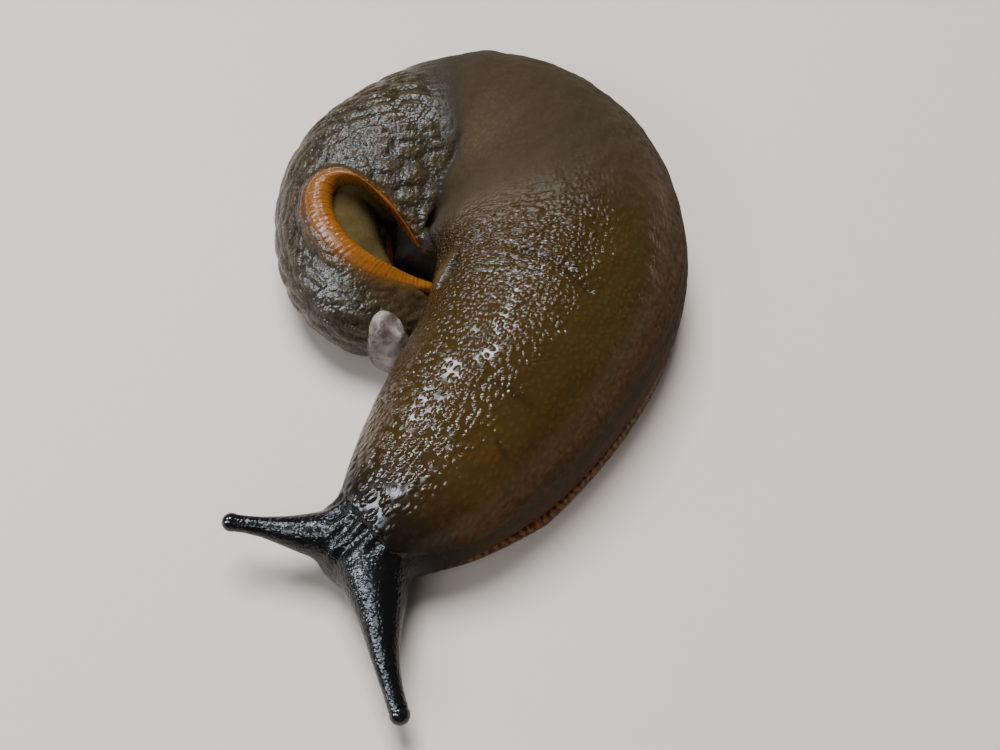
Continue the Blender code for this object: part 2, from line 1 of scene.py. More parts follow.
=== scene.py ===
# %% [markdown]
# A large round-backed slug, life size, curled round to its right. The scene is built
# in millimetres along one smooth curve, the axis, and turned into metres at the end
# of each piece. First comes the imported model, the frame that every piece rides on.

# %% Load the frame
import math

import bpy
import numpy as np
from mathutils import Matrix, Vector
from mathutils.kdtree import KDTree


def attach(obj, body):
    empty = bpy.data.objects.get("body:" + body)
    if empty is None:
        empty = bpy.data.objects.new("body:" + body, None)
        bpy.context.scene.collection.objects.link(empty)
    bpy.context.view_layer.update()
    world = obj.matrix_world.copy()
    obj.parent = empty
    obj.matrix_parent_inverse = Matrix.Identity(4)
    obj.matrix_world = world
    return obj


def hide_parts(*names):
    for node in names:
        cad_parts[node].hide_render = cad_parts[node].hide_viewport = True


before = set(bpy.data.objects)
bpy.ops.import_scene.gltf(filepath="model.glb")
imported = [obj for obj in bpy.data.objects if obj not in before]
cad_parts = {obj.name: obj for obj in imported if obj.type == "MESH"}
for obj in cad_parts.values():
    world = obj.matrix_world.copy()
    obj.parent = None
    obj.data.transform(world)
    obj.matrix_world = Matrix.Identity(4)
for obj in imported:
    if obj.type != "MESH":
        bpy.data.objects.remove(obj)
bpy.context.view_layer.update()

MM = 0.001
print("nodes:", len(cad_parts))

# %% [markdown]
# The camera comes first, because the pose was worked out with it. It looks down at
# 60 degrees from 140 mm away, as a hand-held camera does. A target point on the axis
# of view fixes it: the camera stands back from there along its own line of sight.

# %% The camera
CENTRE = np.array([-3.859, 3.627])       # mm, from the fitted axis to the origin
ELEVATION = math.radians(60)
DISTANCE = 140.0
TARGET_HEIGHT = 8.0
LENS, SENSOR = 45.0, 36.0


def linked(name, data):
    """A new object of the scene, at the origin."""
    made = bpy.data.objects.new(name, data)
    bpy.context.scene.collection.objects.link(made)
    return made


forward = Vector((0, math.cos(ELEVATION), -math.sin(ELEVATION)))
target = Vector((-CENTRE[0], -CENTRE[1], TARGET_HEIGHT))
lens = bpy.data.cameras.new("camera")
lens.lens, lens.sensor_width = LENS, SENSOR
lens.clip_start, lens.clip_end = 0.005, 5.0
camera = linked("camera", lens)
camera.location = (target - forward * DISTANCE) * MM
camera.rotation_euler = forward.to_track_quat("-Z", "Y").to_euler()
bpy.context.scene.camera = camera
print("camera at", [round(v, 4) for v in camera.location])

# %% [markdown]
# The axis is a B-spline through the midst of a few stations. Each station holds the
# place of the axis, the half width and height of the body there, how far it rolls
# onto its left side, and the half width of its foot. A slug has no bones, so a sweep
# of changing sections is how it is really built: one long muscular tube.

# %% The stations
STATIONS = [             # x, y, z, half width, height, roll in degrees, half width of the foot
    (-18.5, -22.0, 1.4, 1.4, 4.5, 0, 1.5),
    (-16.2, -19.7, 2.3, 4.0, 7.7, 0, 4.1),
    (-12.3, -16.8, 3.6, 6.8, 11.3, 0, 6.8),
    (-7.0, -12.1, 4.9, 10.2, 14.8, 0, 9.8),
    (-0.6, -3.9, 6.0, 12.5, 17.4, 0, 12.1),
    (7.2, 8.8, 6.8, 13.6, 18.9, 0, 13.2),
    (8.5, 16.6, 6.9, 14.5, 19.4, 0, 13.5),
    (6.0, 25.4, 7.0, 15.0, 19.4, 0, 13.8),
    (0.8, 31.7, 7.2, 14.9, 18.4, 4, 13.6),
    (-5.4, 34.0, 7.4, 13.0, 17.2, 12, 12.6),
    (-11.9, 31.2, 8.0, 10.4, 16.0, 28, 11.2),
    (-17.7, 27.9, 7.6, 7.9, 14.0, 62, 9.0),
    (-21.0, 23.9, 6.2, 6.2, 12.2, 134, 8.0),
    (-19.8, 15.2, 6.2, 6.0, 11.2, 124, 6.8),
    (-14.8, 9.6, 5.2, 5.6, 9.6, 94, 5.2),
    (-7.6, 10.3, 3.8, 3.6, 6.6, 90, 3.2),
]
DRAWN_IN = [             # share, then x, y, z by which the tail's right edge is drawn in
    (0.630, 0, 0, 0),
    (0.656, -2.0, -6.2, -0.4),
    (0.682, -2.1, -5.8, -1.7),
    (0.712, -1.6, -3.8, -1.3),
    (0.744, -0.6, -1.2, -0.4),
    (0.775, 0, 0, 0),
]
SWOLLEN = [              # and by which the right flank swells behind the breathing hole
    (0.270, 0, 0, 0),
    (0.340, -1.3, 0, 0),
    (0.410, -3.0, 0.2, 0),
    (0.455, -2.1, 0.2, 0),
    (0.520, 0, 0, 0),
]
WIDEST = 0.38            # height of the widest level, as a share of the height
FOOT_SHARE = 0.3         # thickness of the foot, as a share of the widest level
FRINGE_WIDTH = 1.9
FRINGE_SHARE = 0.24
BEND_LIMIT = 0.86        # how near the centre of a bend the skin may come
BEND_SLOPE = 0.6
FLOOR_SINK = 0.3         # mm of the rolled foot that may lie under the floor, and is cut off
print("stations", len(STATIONS))

# %% [markdown]
# Two tools shape all that follows, and a few short ones help them. A B-spline runs
# smoothly past a few rows of values, where straight lines would show their corners. An
# even step fades one form into the next, as hardly any border on a slug is sharp.

# %% A B-spline and an even step


def b_spline(rows, t):
    """Uniform cubic B-spline that starts and ends at its first and last rows."""
    rows = np.asarray(rows, float)
    rows = np.vstack([2 * rows[0] - rows[1], rows, 2 * rows[-1] - rows[-2]])
    spans = len(rows) - 3
    x = np.clip(np.asarray(t, float), 0, 1) * spans
    i = np.minimum(x.astype(int), spans - 1)
    f = (x - i)[..., None]
    weights = (
        (1 - f) ** 3 / 6,
        (3 * f**3 - 6 * f**2 + 4) / 6,
        (-3 * f**3 + 3 * f**2 + 3 * f + 1) / 6,
        f**3 / 6,
    )
    return sum(w * rows[i + n] for n, w in enumerate(weights))


def smooth(value, low, high):
    """Zero below low and one above high, with an even slope at both."""
    share = np.clip((value - low) / (high - low), 0, 1)
    return share * share * (3 - 2 * share)


def unit(vectors):
    """The same directions, each one long."""
    return vectors / np.linalg.norm(vectors, axis=-1, keepdims=True)


def by_column(function, rows):
    """What the function makes of each column, side by side again."""
    return np.stack([function(column) for column in rows.T], 1)


def bell(count):
    """Weights of a blur, highest in the middle, that add up to one."""
    return np.hanning(count) / np.hanning(count).sum()


def hump(value, middle, width):
    """One at the middle, falling off smoothly to both sides."""
    return np.exp(-((value - middle) / width) ** 2)


def full_turn(count):
    """Angles at even steps all the way round."""
    return np.linspace(0, 2 * math.pi, count, endpoint=False)


# %% [markdown]
# Sections that stand square to a tight bend would cut through each other on its
# inside. So the heading is blurred along the axis, and each section keeps a radius,
# the room that it has before it would meet its neighbours.

# %% The axis
AXIS_POINTS = 801
HEADING_WINDOW = 0.025   # of the spline, to both sides of a point
TURN_BLUR = 25           # points of the axis
MOVE_STEPS, MOVE_BLUR = 60, 11

AXIS_TABLE = np.linspace(0, 1, AXIS_POINTS)
steps = np.linalg.norm(np.diff(b_spline(STATIONS, AXIS_TABLE)[:, :3], axis=0), axis=1)
AXIS_SHARES = np.concatenate([[0], np.cumsum(steps)])
AXIS_LENGTH = AXIS_SHARES[-1]
AXIS_SHARES /= AXIS_LENGTH
after = b_spline(STATIONS, AXIS_TABLE + HEADING_WINDOW)
before = b_spline(STATIONS, AXIS_TABLE - HEADING_WINDOW)
HEADING = unit((after - before)[:, :3])
turning = np.gradient(HEADING, AXIS_SHARES * AXIS_LENGTH, axis=0)
padded = np.pad(turning, ((TURN_BLUR // 2, TURN_BLUR // 2), (0, 0)), "edge")
TURNING = by_column(lambda c: np.convolve(c, bell(TURN_BLUR), "valid"), padded)
apart = np.abs(AXIS_SHARES[:, None] - AXIS_SHARES) * AXIS_LENGTH
ROOM = (1 / (np.linalg.norm(TURNING, axis=1) + 1e-6) + BEND_SLOPE * apart).min(axis=1)


def looked_up(rows, shares):
    return by_column(lambda c: np.interp(shares, AXIS_SHARES, c), rows)


def moved(table, shares):
    """The moves of a table of shares and x, y, z, blurred, at the shares asked for."""
    knots = np.array(table)
    fine = np.linspace(knots[0, 0], knots[-1, 0], MOVE_STEPS)
    rows = by_column(lambda c: np.interp(fine, knots[:, 0], c), knots[:, 1:])
    rows = by_column(lambda c: np.convolve(c, bell(MOVE_BLUR), "same"), rows)
    return by_column(lambda c: np.interp(shares, fine, c, 0, 0), rows)


print("axis length", round(AXIS_LENGTH, 1), "mm")

# %% [markdown]
# A section is an egg: a low half under the widest level and a high half over it. Its
# own directions are right, up and along. The foot under it is a flat slab, narrower
# on the left where the rolled tail presses it on the floor.

# %% Sections of the body


def sections(shares):
    shares = np.asarray(shares, float)
    rows = b_spline(STATIONS, np.interp(shares, AXIS_SHARES, AXIS_TABLE))
    tangent = unit(looked_up(HEADING, shares))
    level_up = unit(np.array([0, 0, 1.0]) - tangent * tangent[:, 2:3])
    level_right = np.cross(-tangent, level_up)
    roll = np.radians(rows[:, 5])[:, None]
    foot = rows[:, 6:7]
    low = WIDEST * rows[:, 4:5]
    thick = FOOT_SHARE * low
    room = rows[:, 2:3] + FLOOR_SINK - (low - thick / 2) * np.cos(roll)
    turning = looked_up(TURNING, shares)
    turning -= tangent * (turning * tangent).sum(1)[:, None]
    strength = np.linalg.norm(turning, axis=1)
    return {
        "centre": rows[:, :3],
        "tangent": tangent,
        "up": level_up * np.cos(roll) - level_right * np.sin(roll),
        "right": level_right * np.cos(roll) + level_up * np.sin(roll),
        "half": rows[:, 3:4],
        "high": rows[:, 4:5] - low,
        "low": low,
        "thick": thick,
        "foot": (foot, np.minimum(foot, room / np.maximum(np.sin(roll), 0.05))),
        "fringe": np.minimum(FRINGE_WIDTH, FRINGE_SHARE * foot),
        "drawn": moved(DRAWN_IN, shares),
        "swollen": moved(SWOLLEN, shares),
        "towards": turning / (strength[:, None] + 1e-9),
        "radius": np.interp(shares, AXIS_SHARES, ROOM),
    }


def place(section, p, q):
    """Points, in mm, of the section coordinates p, to the right, and q, up."""
    offset = section["right"][:, None] * p[..., None] + section["up"][:, None] * q[..., None]
    towards = section["towards"][:, None]
    reach = (offset * towards).sum(-1)
    limit = BEND_LIMIT * section["radius"][:, None]
    start = 0.5 * limit
    past = np.maximum(reach - start, 0) / (limit - start)
    held = np.where(reach > start, start + (limit - start) * np.tanh(past), reach)
    points = section["centre"][:, None] + offset + towards * (held - reach)[..., None]
    sideways = smooth(p / section["half"], 0.0, 0.8)
    low_down = 1 - smooth(q, -0.3 * section["low"], 0.55 * section["high"])
    points = points + section["drawn"][:, None] * (sideways * low_down)[..., None]
    points = points + section["swollen"][:, None] * sideways[..., None]
    points[..., 2] = np.maximum(points[..., 2], 0)
    points[..., :2] -= CENTRE
    return points


def egg(section, angles):
    """The outline at angles from the right flank, by way of the back."""
    c, s = np.cos(angles), np.sin(angles)
    return section["half"] * c, np.where(s > 0, section["high"] * s, section["low"] * s)


# %% [markdown]
# A mesh from a grid of points is the plain way to build a sweep: one ring of points
# for each section, faces between neighbouring rings, and a fan over each end.

# %% Grids into meshes


def swept(points, first=0):
    """Vertices and faces of rings of points, with a fan over each end."""
    rows, columns = points.shape[:2]
    i, j = np.indices((rows - 1, columns))
    k = (j + 1) % columns
    corners = [i * columns + j, i * columns + k, (i + 1) * columns + k, (i + 1) * columns + j]
    faces = (np.stack(corners, -1).reshape(-1, 4) + first).tolist()
    start, last = first + rows * columns, first + (rows - 1) * columns
    for n in range(columns):
        m = (n + 1) % columns
        faces.append([start, first + m, first + n])
        faces.append([start + 1, last + n, last + m])
    return np.vstack([points.reshape(-1, 3), points[0].mean(0), points[-1].mean(0)]), faces


def read(items, name, width, kind=float):
    """One measure of all points, edges or triangles of a mesh, a row for each."""
    values = np.zeros(len(items) * width, kind)
    items.foreach_get(name, values)
    return values.reshape(-1, width)


def finished(mesh):
    """Shaded smooth, and turned outwards if the volume inside comes out negative."""
    mesh.calc_loop_triangles()
    corners = read(mesh.loop_triangles, "vertices", 3, np.int32)
    points = read(mesh.vertices, "co", 3)[corners]
    if (points[:, 0] * np.cross(points[:, 1], points[:, 2])).sum() < 0:
        mesh.flip_normals()
    mesh.shade_smooth()
    return mesh


def mesh_object(name, verts, faces, scale=MM):
    mesh = bpy.data.meshes.new(name)
    mesh.from_pydata((np.asarray(verts) * scale).tolist(), [], faces)
    mesh.validate()
    return linked(name, finished(mesh))


# %% [markdown]
# The flesh: one sweep from the neck to the tail, a snout of shrinking rings with the
# mouth turned in between two lips, and the tentacles, round tubes with a bulb at
# the tip. Each is a closed form of its own, and they run into each other.

# %% The body's sweep
HEAD_START = 0.020
BODY_ROWS = 620
BACK_COLUMNS = 112
UNDER_COLUMNS = 18
FOOT_LEDGE = (1.1, 1.7)  # mm by which the right and left fringe stand out under the flank
SQUEEZED = [             # share, then x, y, z by which the bend squeezes the right flank out
    (0.400, 0, 0, 0),
    (0.450, -4.4, -0.2, 0),
    (0.500, -6.6, -0.6, 0),
    (0.560, -7.2, -1.6, 0),
    (0.620, -5.4, -2.4, 0),
    (0.670, -1.5, -0.5, 0),
    (0.700, 0, 0, 0),
]
RAISED = [               # and by which it raises the fold between the mantle and the hind back
    (0.490, 0, 0, 0),
    (0.530, -0.3, 0, 1.6),
    (0.565, -0.6, 0, 3.0),
    (0.605, -0.5, 0, 3.0),
    (0.640, 0, 0, 1.2),
    (0.660, 0, 0, 0),
]
SNOUT_RINGS = [          # mm ahead of the head, shares of its width and height, mm raised
    (0, 1, 1, 0),
    (0.8, 0.94, 0.93, 0),
    (1.35, 0.8, 0.78, -0.1),
    (1.75, 0.6, 0.52, -0.3),
    (1.75, 0.46, 0.26, -0.5),
    (1.3, 0.38, 0.12, -0.55),
    (0.6, 0.3, 0.06, -0.55),
]


def body_outline(section):
    """Section coordinates of the whole outline, and the angle of each point."""
    low, thick = section["low"], section["thick"]
    dip = np.arcsin((low - thick) / low)
    share = np.linspace(0, 1, BACK_COLUMNS)
    angles = -dip + (math.pi + 2 * dip) * share
    p, q = egg(section, angles)
    begun = 0.25 + 0.75 * smooth(section["half"], 4.0, 10.5)
    right, left = (
        np.maximum(foot - ledge * begun - section["half"] * np.cos(dip), 0)
        for foot, ledge in zip(section["foot"], FOOT_LEDGE)
    )
    p = p + np.where(p > 0, right, -left) * smooth(-q / (low - thick), 0.0, 1.0)
    across = np.linspace(-1, 1, UNDER_COLUMNS + 2)[1:-1]
    under_p = -p[:, :1] * -across
    under_q = np.broadcast_to(q[:, :1], under_p.shape)
    under = np.where(across < 0, math.pi + dip, -dip)
    return np.hstack([p, under_p]), np.hstack([q, under_q]), np.hstack([angles, under])


body_shares = np.linspace(HEAD_START, 0.992, BODY_ROWS)
body = sections(body_shares)
body_p, body_q, body_angles = body_outline(body)
tip = np.sqrt(1 - smooth(body_shares, 0.955, 1.0) ** 2 * 0.8)[:, None]
squeezing = hump(body_q, -0.25 * body["low"], 0.65 * body["low"])
squeezing = squeezing * smooth(body_p / body["half"], 0.2, 0.8)
raising = hump(np.degrees(body_angles), 12, 19)
body_points = (place(body, body_p * tip, body_q * tip)
               + moved(SQUEEZED, body_shares)[:, None] * squeezing[..., None]
               + moved(RAISED, body_shares)[:, None] * raising[..., None])
body_points[..., 2] = np.maximum(body_points[..., 2], 0)
print("body grid", body_points.shape)

# %% [markdown]
# The snout goes on from the head's first section. Its last rings turn back inwards, so
# that the mouth is a real hollow and not a dark mark.

# %% The snout


def snout_rings(count=16):
    section = sections([HEAD_START])
    ahead, right, up = -section["tangent"][0], section["right"][0], section["up"][0]
    middle = body_points[0].mean(0)
    out = body_points[0] - middle
    rings = []
    for forward, width, height, raised in b_spline(SNOUT_RINGS, np.linspace(1, 0, count))[:-1]:
        ring = middle + ahead * forward + up * raised
        ring = ring + np.outer(out @ right, right) * width + np.outer(out @ up, up) * height
        ring[:, 2] = np.maximum(ring[:, 2], 0)
        rings.append(ring)
    return np.array(rings)


grids = [np.concatenate([snout_rings(), body_points])]
print("rings with the snout", len(grids[0]))

# %% [markdown]
# A slug has two pairs of tentacles: long upper ones with an eye in each bulb, and short
# feelers low on the snout. Each is a tube along a B-spline. Its radius comes from a row
# of values, because a tentacle is thick at its root and swells again round the eye.

# %% The tentacles
UPPER_TENTACLES = {
    "right": [(-14.6, -17.8, 4.6), (-16.6, -18.3, 5.2), (-20.5, -18.4, 6.0),
              (-24.8, -17.8, 6.6), (-28.4, -17.4, 7.0)],
    "left": [(-13.2, -18.6, 4.4), (-13.4, -21.0, 4.9), (-12.4, -25.6, 5.5),
             (-11.8, -31.6, 5.1), (-10.0, -37.0, 4.3)],
}
UPPER_RADII = {
    "right": (3.2, 3.2, 3.2, 3.1, 2.5, 1.95, 1.5, 1.14, 0.98, 1.0),
    "left": (4.2, 4.2, 4.2, 4.0, 3.3, 2.5, 1.85, 1.4, 1.12, 1.07),
}
LOWER_TENTACLES = {
    "right": [(-16.4, -19.6, 2.2), (-17.7, -20.1, 1.8), (-18.6, -20.6, 1.3)],
    "left": [(-15.2, -20.6, 2.1), (-15.8, -21.7, 1.7), (-16.3, -22.6, 1.3)],
}
LOWER_RADII = (1.0, 0.85, 0.72)
TENTACLE_SIDES = 40


def tube(points, radii, rows=90, tip_rings=9):
    """Rings of a tube along a B-spline. Its tip is a half ball."""
    t = np.linspace(0, 1, rows)
    path = b_spline(points, t)
    radius = np.interp(t, np.linspace(0, 1, len(radii)), radii)
    heading = unit(np.gradient(path, axis=0))
    across = unit(np.cross(heading, [0, 0, 1.0]))
    above = np.cross(across, heading)
    turn = full_turn(TENTACLE_SIDES)[:, None]
    ring = across[:, None] * np.cos(turn) + above[:, None] * np.sin(turn)
    tips = [
        path[-1] + (ring[-1] * math.cos(a) + heading[-1] * math.sin(a)) * radius[-1]
        for a in np.linspace(0, math.pi / 2, tip_rings + 1)[1:-1]
    ]
    rings = np.concatenate([path[:, None] + ring * radius[:, None, None], np.array(tips)])
    for places in (rings, path):
        places[..., :2] -= CENTRE
    return rings, path[-1], heading[-1]


tentacles = {
    ("upper", side): tube(points, UPPER_RADII[side]) for side, points in UPPER_TENTACLES.items()
}
tentacles |= {
    ("lower", side): tube(points, LOWER_RADII, 30) for side, points in LOWER_TENTACLES.items()
}
grids.extend(rings for rings, *_ in tentacles.values())
print("tentacles", len(tentacles))

# %% [markdown]
# One skin over all of it. The forms could be joined by Booleans, which leave hard
# creases. A voxel remesh instead wraps them in one closed net of even faces, and some
# rounds of averaging melt the roots of the tentacles into the head.

# %% One closed net
VOXEL = 0.318            # mm, which keeps the skin under 200,000 triangles
SMOOTH_ROUNDS = 4
ROOT_ROUNDS = 45

verts, faces = [], []
for grid in grids:
    more, more_faces = swept(grid, sum(map(len, verts)))
    verts.append(more)
    faces.extend(more_faces)
forms = mesh_object("skin_forms", np.vstack(verts), faces, 1.0)
wrap = forms.modifiers.new("wrap", "REMESH")
wrap.mode, wrap.voxel_size = "VOXEL", VOXEL
evaluated = forms.evaluated_get(bpy.context.evaluated_depsgraph_get())
skin_mesh = bpy.data.meshes.new_from_object(evaluated)
bpy.data.objects.remove(forms, do_unlink=True)


def averaged(values, edges, rounds, weight=0.5):
    """Each value drawn part of the way to the mean of its neighbours, round by round."""
    a, b = edges.T
    count = np.bincount(edges.ravel(), minlength=len(values)).clip(1)[:, None]
    weight = np.broadcast_to(np.asarray(weight, float), (len(values),))[:, None]
    for _ in range(rounds):
        total = by_column(
            lambda c: np.bincount(a, c[b], len(c)) + np.bincount(b, c[a], len(c)), values)
        values = values + weight * (total / count - values)
    return values


skin_edges = read(skin_mesh.edges, "vertices", 2, np.int32)
skin = read(skin_mesh.vertices, "co", 3)
print("skin net", len(skin), "points")

# %% [markdown]
# The net has forgotten where along the body each of its points lies. A k-d tree finds
# the nearest point of the first sweep, and so gives back the share of the axis and the
# angle round it. All the skin's markings are drawn in these two.

# %% Share and angle of each point


def tree_of(points):
    tree = KDTree(len(points))
    for n, point in enumerate(points):
        tree.insert(point, n)
    tree.balance()
    return tree


def nearest(points, tree):
    found = [tree.find(point)[1:] for point in points]
    return np.array([f[0] for f in found]), np.array([f[1] for f in found])


tentacle_points = np.concatenate([grid.reshape(-1, 3) for grid in grids[1:]])
_, from_tentacle = nearest(skin, tree_of(tentacle_points))
body_tree = tree_of(body_points.reshape(-1, 3))
_, from_body = nearest(skin, body_tree)
near_root = smooth(from_tentacle, 2.6, 0.6) * smooth(from_body, 2.6, 0.6)
near_root *= smooth(skin[:, 1], -14.0, -17.0)
skin = averaged(skin, skin_edges, SMOOTH_ROUNDS)
skin = averaged(skin, skin_edges, ROOT_ROUNDS, 0.5 * near_root)
index, from_body = nearest(skin, body_tree)
row, column = np.divmod(index, body_points.shape[1])

row_step = np.gradient(body_points, axis=0)[row, column]
column_step = (np.roll(body_points, -1, 1) - np.roll(body_points, 1, 1))[row, column] / 2
rest = skin - body_points[row, column]
rows_off, columns_off = (
    np.clip((rest * way).sum(1) / ((way**2).sum(1) + 1e-9), -1, 1)
    for way in (row_step, column_step)
)


def refined(values, largest_step=9.0):
    """A measure of the grid at each point of the skin."""
    along, around = (np.gradient(values, axis=n)[row, column] for n in (0, 1))
    around = np.where(np.abs(around) > largest_step, 0, around)
    return values[row, column] + rows_off * along + columns_off * around


share = refined(np.broadcast_to(body_shares[:, None], body_angles.shape))
angle = refined(body_angles, 0.2)
level = np.degrees(angle)                # 0 right, 90 top, 180 left
on_tentacle = smooth(from_body, 0.5, 1.6)
on_body = 1 - on_tentacle
print("share", share.min().round(3), share.max().round(3))

# %% [markdown]
# Two measures in millimetres for the patterns: along the axis, and round the body
# from the middle of the back. They come from the egg of each section.

# %% Along and round, in millimetres
steps = np.hypot(np.diff(body_p, axis=1), np.diff(body_q, axis=1))
run = np.concatenate([np.zeros((BODY_ROWS, 1)), np.cumsum(steps, axis=1)], axis=1)
middle = run[:, BACK_COLUMNS // 2 - 1:BACK_COLUMNS // 2 + 1].mean(1, keepdims=True)
around = refined(run - middle)
along_mm = share * AXIS_LENGTH
high_here = np.interp(share, body_shares, body["high"][:, 0])
print("round the body", around.min().round(1), around.max().round(1), "mm")

# %% [markdown]
# The mantle is the smooth shield over the fore part. Its reach down the flanks is an
# angle, drawn in at both ends. The distance inside its edge, in millimetres, shapes the
# step at the edge and later the colours beside it.

# %% The mantle's edge
MANTLE_START = 0.066
MANTLE_END = 0.635
MANTLE_EDGE_ANGLE = 20.0
MANTLE_CORNER = 0.13
MANTLE_END_WIDTH = 0.46
MANTLE_PROUD = 0.5

u = (share - MANTLE_START) / (MANTLE_END - MANTLE_START)
near_end = np.clip(np.minimum(u, 1 - u) / MANTLE_CORNER, 0, 1)
rounded = np.sqrt(1 - (1 - near_end) ** 2)
reach = math.radians(90 - MANTLE_EDGE_ANGLE)
reach = reach * (MANTLE_END_WIDTH + (1 - MANTLE_END_WIDTH) * rounded)
side = (reach - np.abs(angle - math.pi / 2)) * high_here
ends = np.minimum(share - MANTLE_START, MANTLE_END - share) * AXIS_LENGTH
inside = np.minimum(side, ends)          # mm inside the edge
soft_edge = smooth(level, 70, 130) * smooth(share, 0.10, 0.2) + smooth(share, 0.45, 0.62)
soft_edge = np.clip(soft_edge, 0, 1)


def over_edge(outside, within):
    """Zero outside the mantle and one on it. The mm given widen it where the edge is soft."""
    return smooth(inside, -0.15 - outside * soft_edge, 0.45 + within * soft_edge) * on_body


mantle = over_edge(0.9, 1.3)
mantle_tint = over_edge(2.2, 2.4)
print("mantle points", int((mantle > 0.5).sum()))

# %% [markdown]
# Noise for the relief. Cells of jittered points give rounded warts with grooves
# between them, and a sum of slanted waves gives soft unevenness. Both are seeded.

# %% Cells and waves


def warts(x, y, seed, groove=0.35):
    """Rounded warts round jittered points, with grooves where two are equally near."""
    jitter = np.random.default_rng(seed).uniform(0.12, 0.88, (256, 256, 2))
    i, j = np.floor(x).astype(int), np.floor(y).astype(int)
    first = np.full(x.shape, 9.0)
    second = first.copy()
    for di in (-1, 0, 1):
        for dj in (-1, 0, 1):
            spot = jitter[(i + di) % 256, (j + dj) % 256]
            away = np.hypot(i + di + spot[:, 0] - x, j + dj + spot[:, 1] - y)
            second = np.where(away < first, first, np.minimum(second, away))
            first = np.minimum(first, away)
    return smooth(second - first, 0.0, groove) * (1 - 0.45 * first)


def waves(points, length, seed, count=14):
    """Soft unevenness about as long as asked for."""
    draw = np.random.default_rng(seed)
    total = np.zeros(len(points))
    for _ in range(count):
        way = draw.normal(size=3)
        way /= np.linalg.norm(way)
        phase = points @ way * (2 * math.pi / length) * draw.uniform(0.7, 1.5)
        total += np.sin(phase + draw.uniform(0, 6.3))
    return total / math.sqrt(count)


# %% [markdown]
# The real skin is fairly smooth on the mantle, knobbly on the hind back and finely
# warted down the flanks, and the head is drawn into lengthwise folds. All of it is a
# lift of each point, in millimetres, so it shows in the outline as well.

# %% The relief of the skin
WART_LENGTH, WART_WIDTH, WART_HEIGHT = 2.8, 1.5, 0.25
FLANK_LENGTH, FLANK_WIDTH, FLANK_HEIGHT = 1.5, 0.85, 0.07
hind = smooth(share, MANTLE_END - 0.004, MANTLE_END + 0.02) * on_body
head = smooth(share, MANTLE_START + 0.012, MANTLE_START - 0.004)
flank = (1 - mantle) * (1 - hind) * (1 - head) * on_body
squeezed = smooth(np.interp(share, AXIS_SHARES, ROOM), 12.0, 8.0) * smooth(level, 75, 15)
wart_field = warts(along_mm / WART_LENGTH, around / WART_WIDTH, 3, 0.6)
flank_field = warts(along_mm / FLANK_LENGTH, around / FLANK_WIDTH, 5)

lift = MANTLE_PROUD * mantle * (0.72 + 0.28 * smooth(inside, 3.0, 0.8))
wart_room = (1 - 0.7 * squeezed) * (0.3 + 0.7 * smooth(share, 0.645, 0.70))
lift += WART_HEIGHT * wart_field * hind * wart_room
lift += FLANK_HEIGHT * flank_field * flank
lift += (0.08 * waves(skin, 5.0, 11) * mantle
         + 0.03 * waves(skin, 1.7, 12) * mantle * smooth(share, 0.26, 0.36))
print("lift", lift.min().round(2), lift.max().round(2))

# %% Folds of the head
FOLD_WIDTH, FOLD_HEIGHT = 1.8, 0.34
folds = 0.5 + 0.5 * np.cos(2 * math.pi * around / FOLD_WIDTH + 0.7 * waves(skin, 8.0, 21))
on_back = smooth(np.sin(angle), 0.15, 0.6)
lift += FOLD_HEIGHT * folds * on_back * head * on_body * smooth(share, 0.010, 0.024)
print("highest", lift.max().round(2), "mm")

# %% [markdown]
# The breathing hole is a slit in the right edge of the mantle. It is pressed in along
# a short line on the skin, and its outer lip is raised and pale. A crease crosses the
# mantle at the bend, and two old scratches lie before it.

# %% The breathing hole, the crease and the scratches
CREASE = ((0.362, 72.0), (0.360, 80.0), (0.355, 93.0), (0.344, 109.0))  # share, level
SCRATCHES = (((0.227, 99.0), (0.228, 117.0)), ((0.187, 116.0), (0.182, 125.0)))
CREASE_DEPTH, SCRATCH_DEPTH, LINE_WIDTH = 0.45, 0.05, 0.36
SLIT_ENDS = ((0.303, 31.0), (0.352, 45.5))
SLIT_WIDTH, SLIT_DEPTH = 0.42, 0.9
LIP_AWAY, LIP_WIDTH, LIP_HEIGHT = 1.2, 0.9, 0.08


def skin_point(share_, degrees):
    """The place of the sweep at a share of the axis and an angle round it."""
    section = sections([share_])
    return place(section, *egg(section, np.radians([[degrees]])))[0, 0]


def from_line(points, start, end):
    """Distance from the line, and the share of the way along it."""
    way = end - start
    t = np.clip((points - start) @ way / (way @ way), 0, 1)
    return np.linalg.norm(points - start - t[:, None] * way, axis=1), t


slit_away, slit_along = from_line(skin, *(skin_point(*end) for end in SLIT_ENDS))
taper = np.sqrt(np.clip(1 - (2 * slit_along - 1) ** 2, 0.02, 1))
slit = hump(slit_away, 0, SLIT_WIDTH * taper)
line_level = np.interp(share, *zip(*SLIT_ENDS))
outer_side = smooth(line_level - level, -1.0, 3.0)
lip = hump(slit_away, LIP_AWAY, LIP_WIDTH) * outer_side * taper
lift += LIP_HEIGHT * lip - SLIT_DEPTH * slit


def along_line(*spots):
    """Nearness, from zero to one, to a line over the skin through the spots."""
    ends = [skin_point(*spot) for spot in spots]
    away = np.min([from_line(skin, a, b)[0] for a, b in zip(ends, ends[1:])], axis=0)
    return hump(away, 0, LINE_WIDTH)


crease = along_line(*CREASE)
scratches = sum(along_line(*ends) for ends in SCRATCHES)
lift -= CREASE_DEPTH * crease + SCRATCH_DEPTH * scratches
print("deepest", lift.min().round(2), "mm")

# %% [markdown]
# Each point moves out along its normal by the lift. The foot lies flat on the floor, so
# nothing goes below it, and the underside stays as it is.

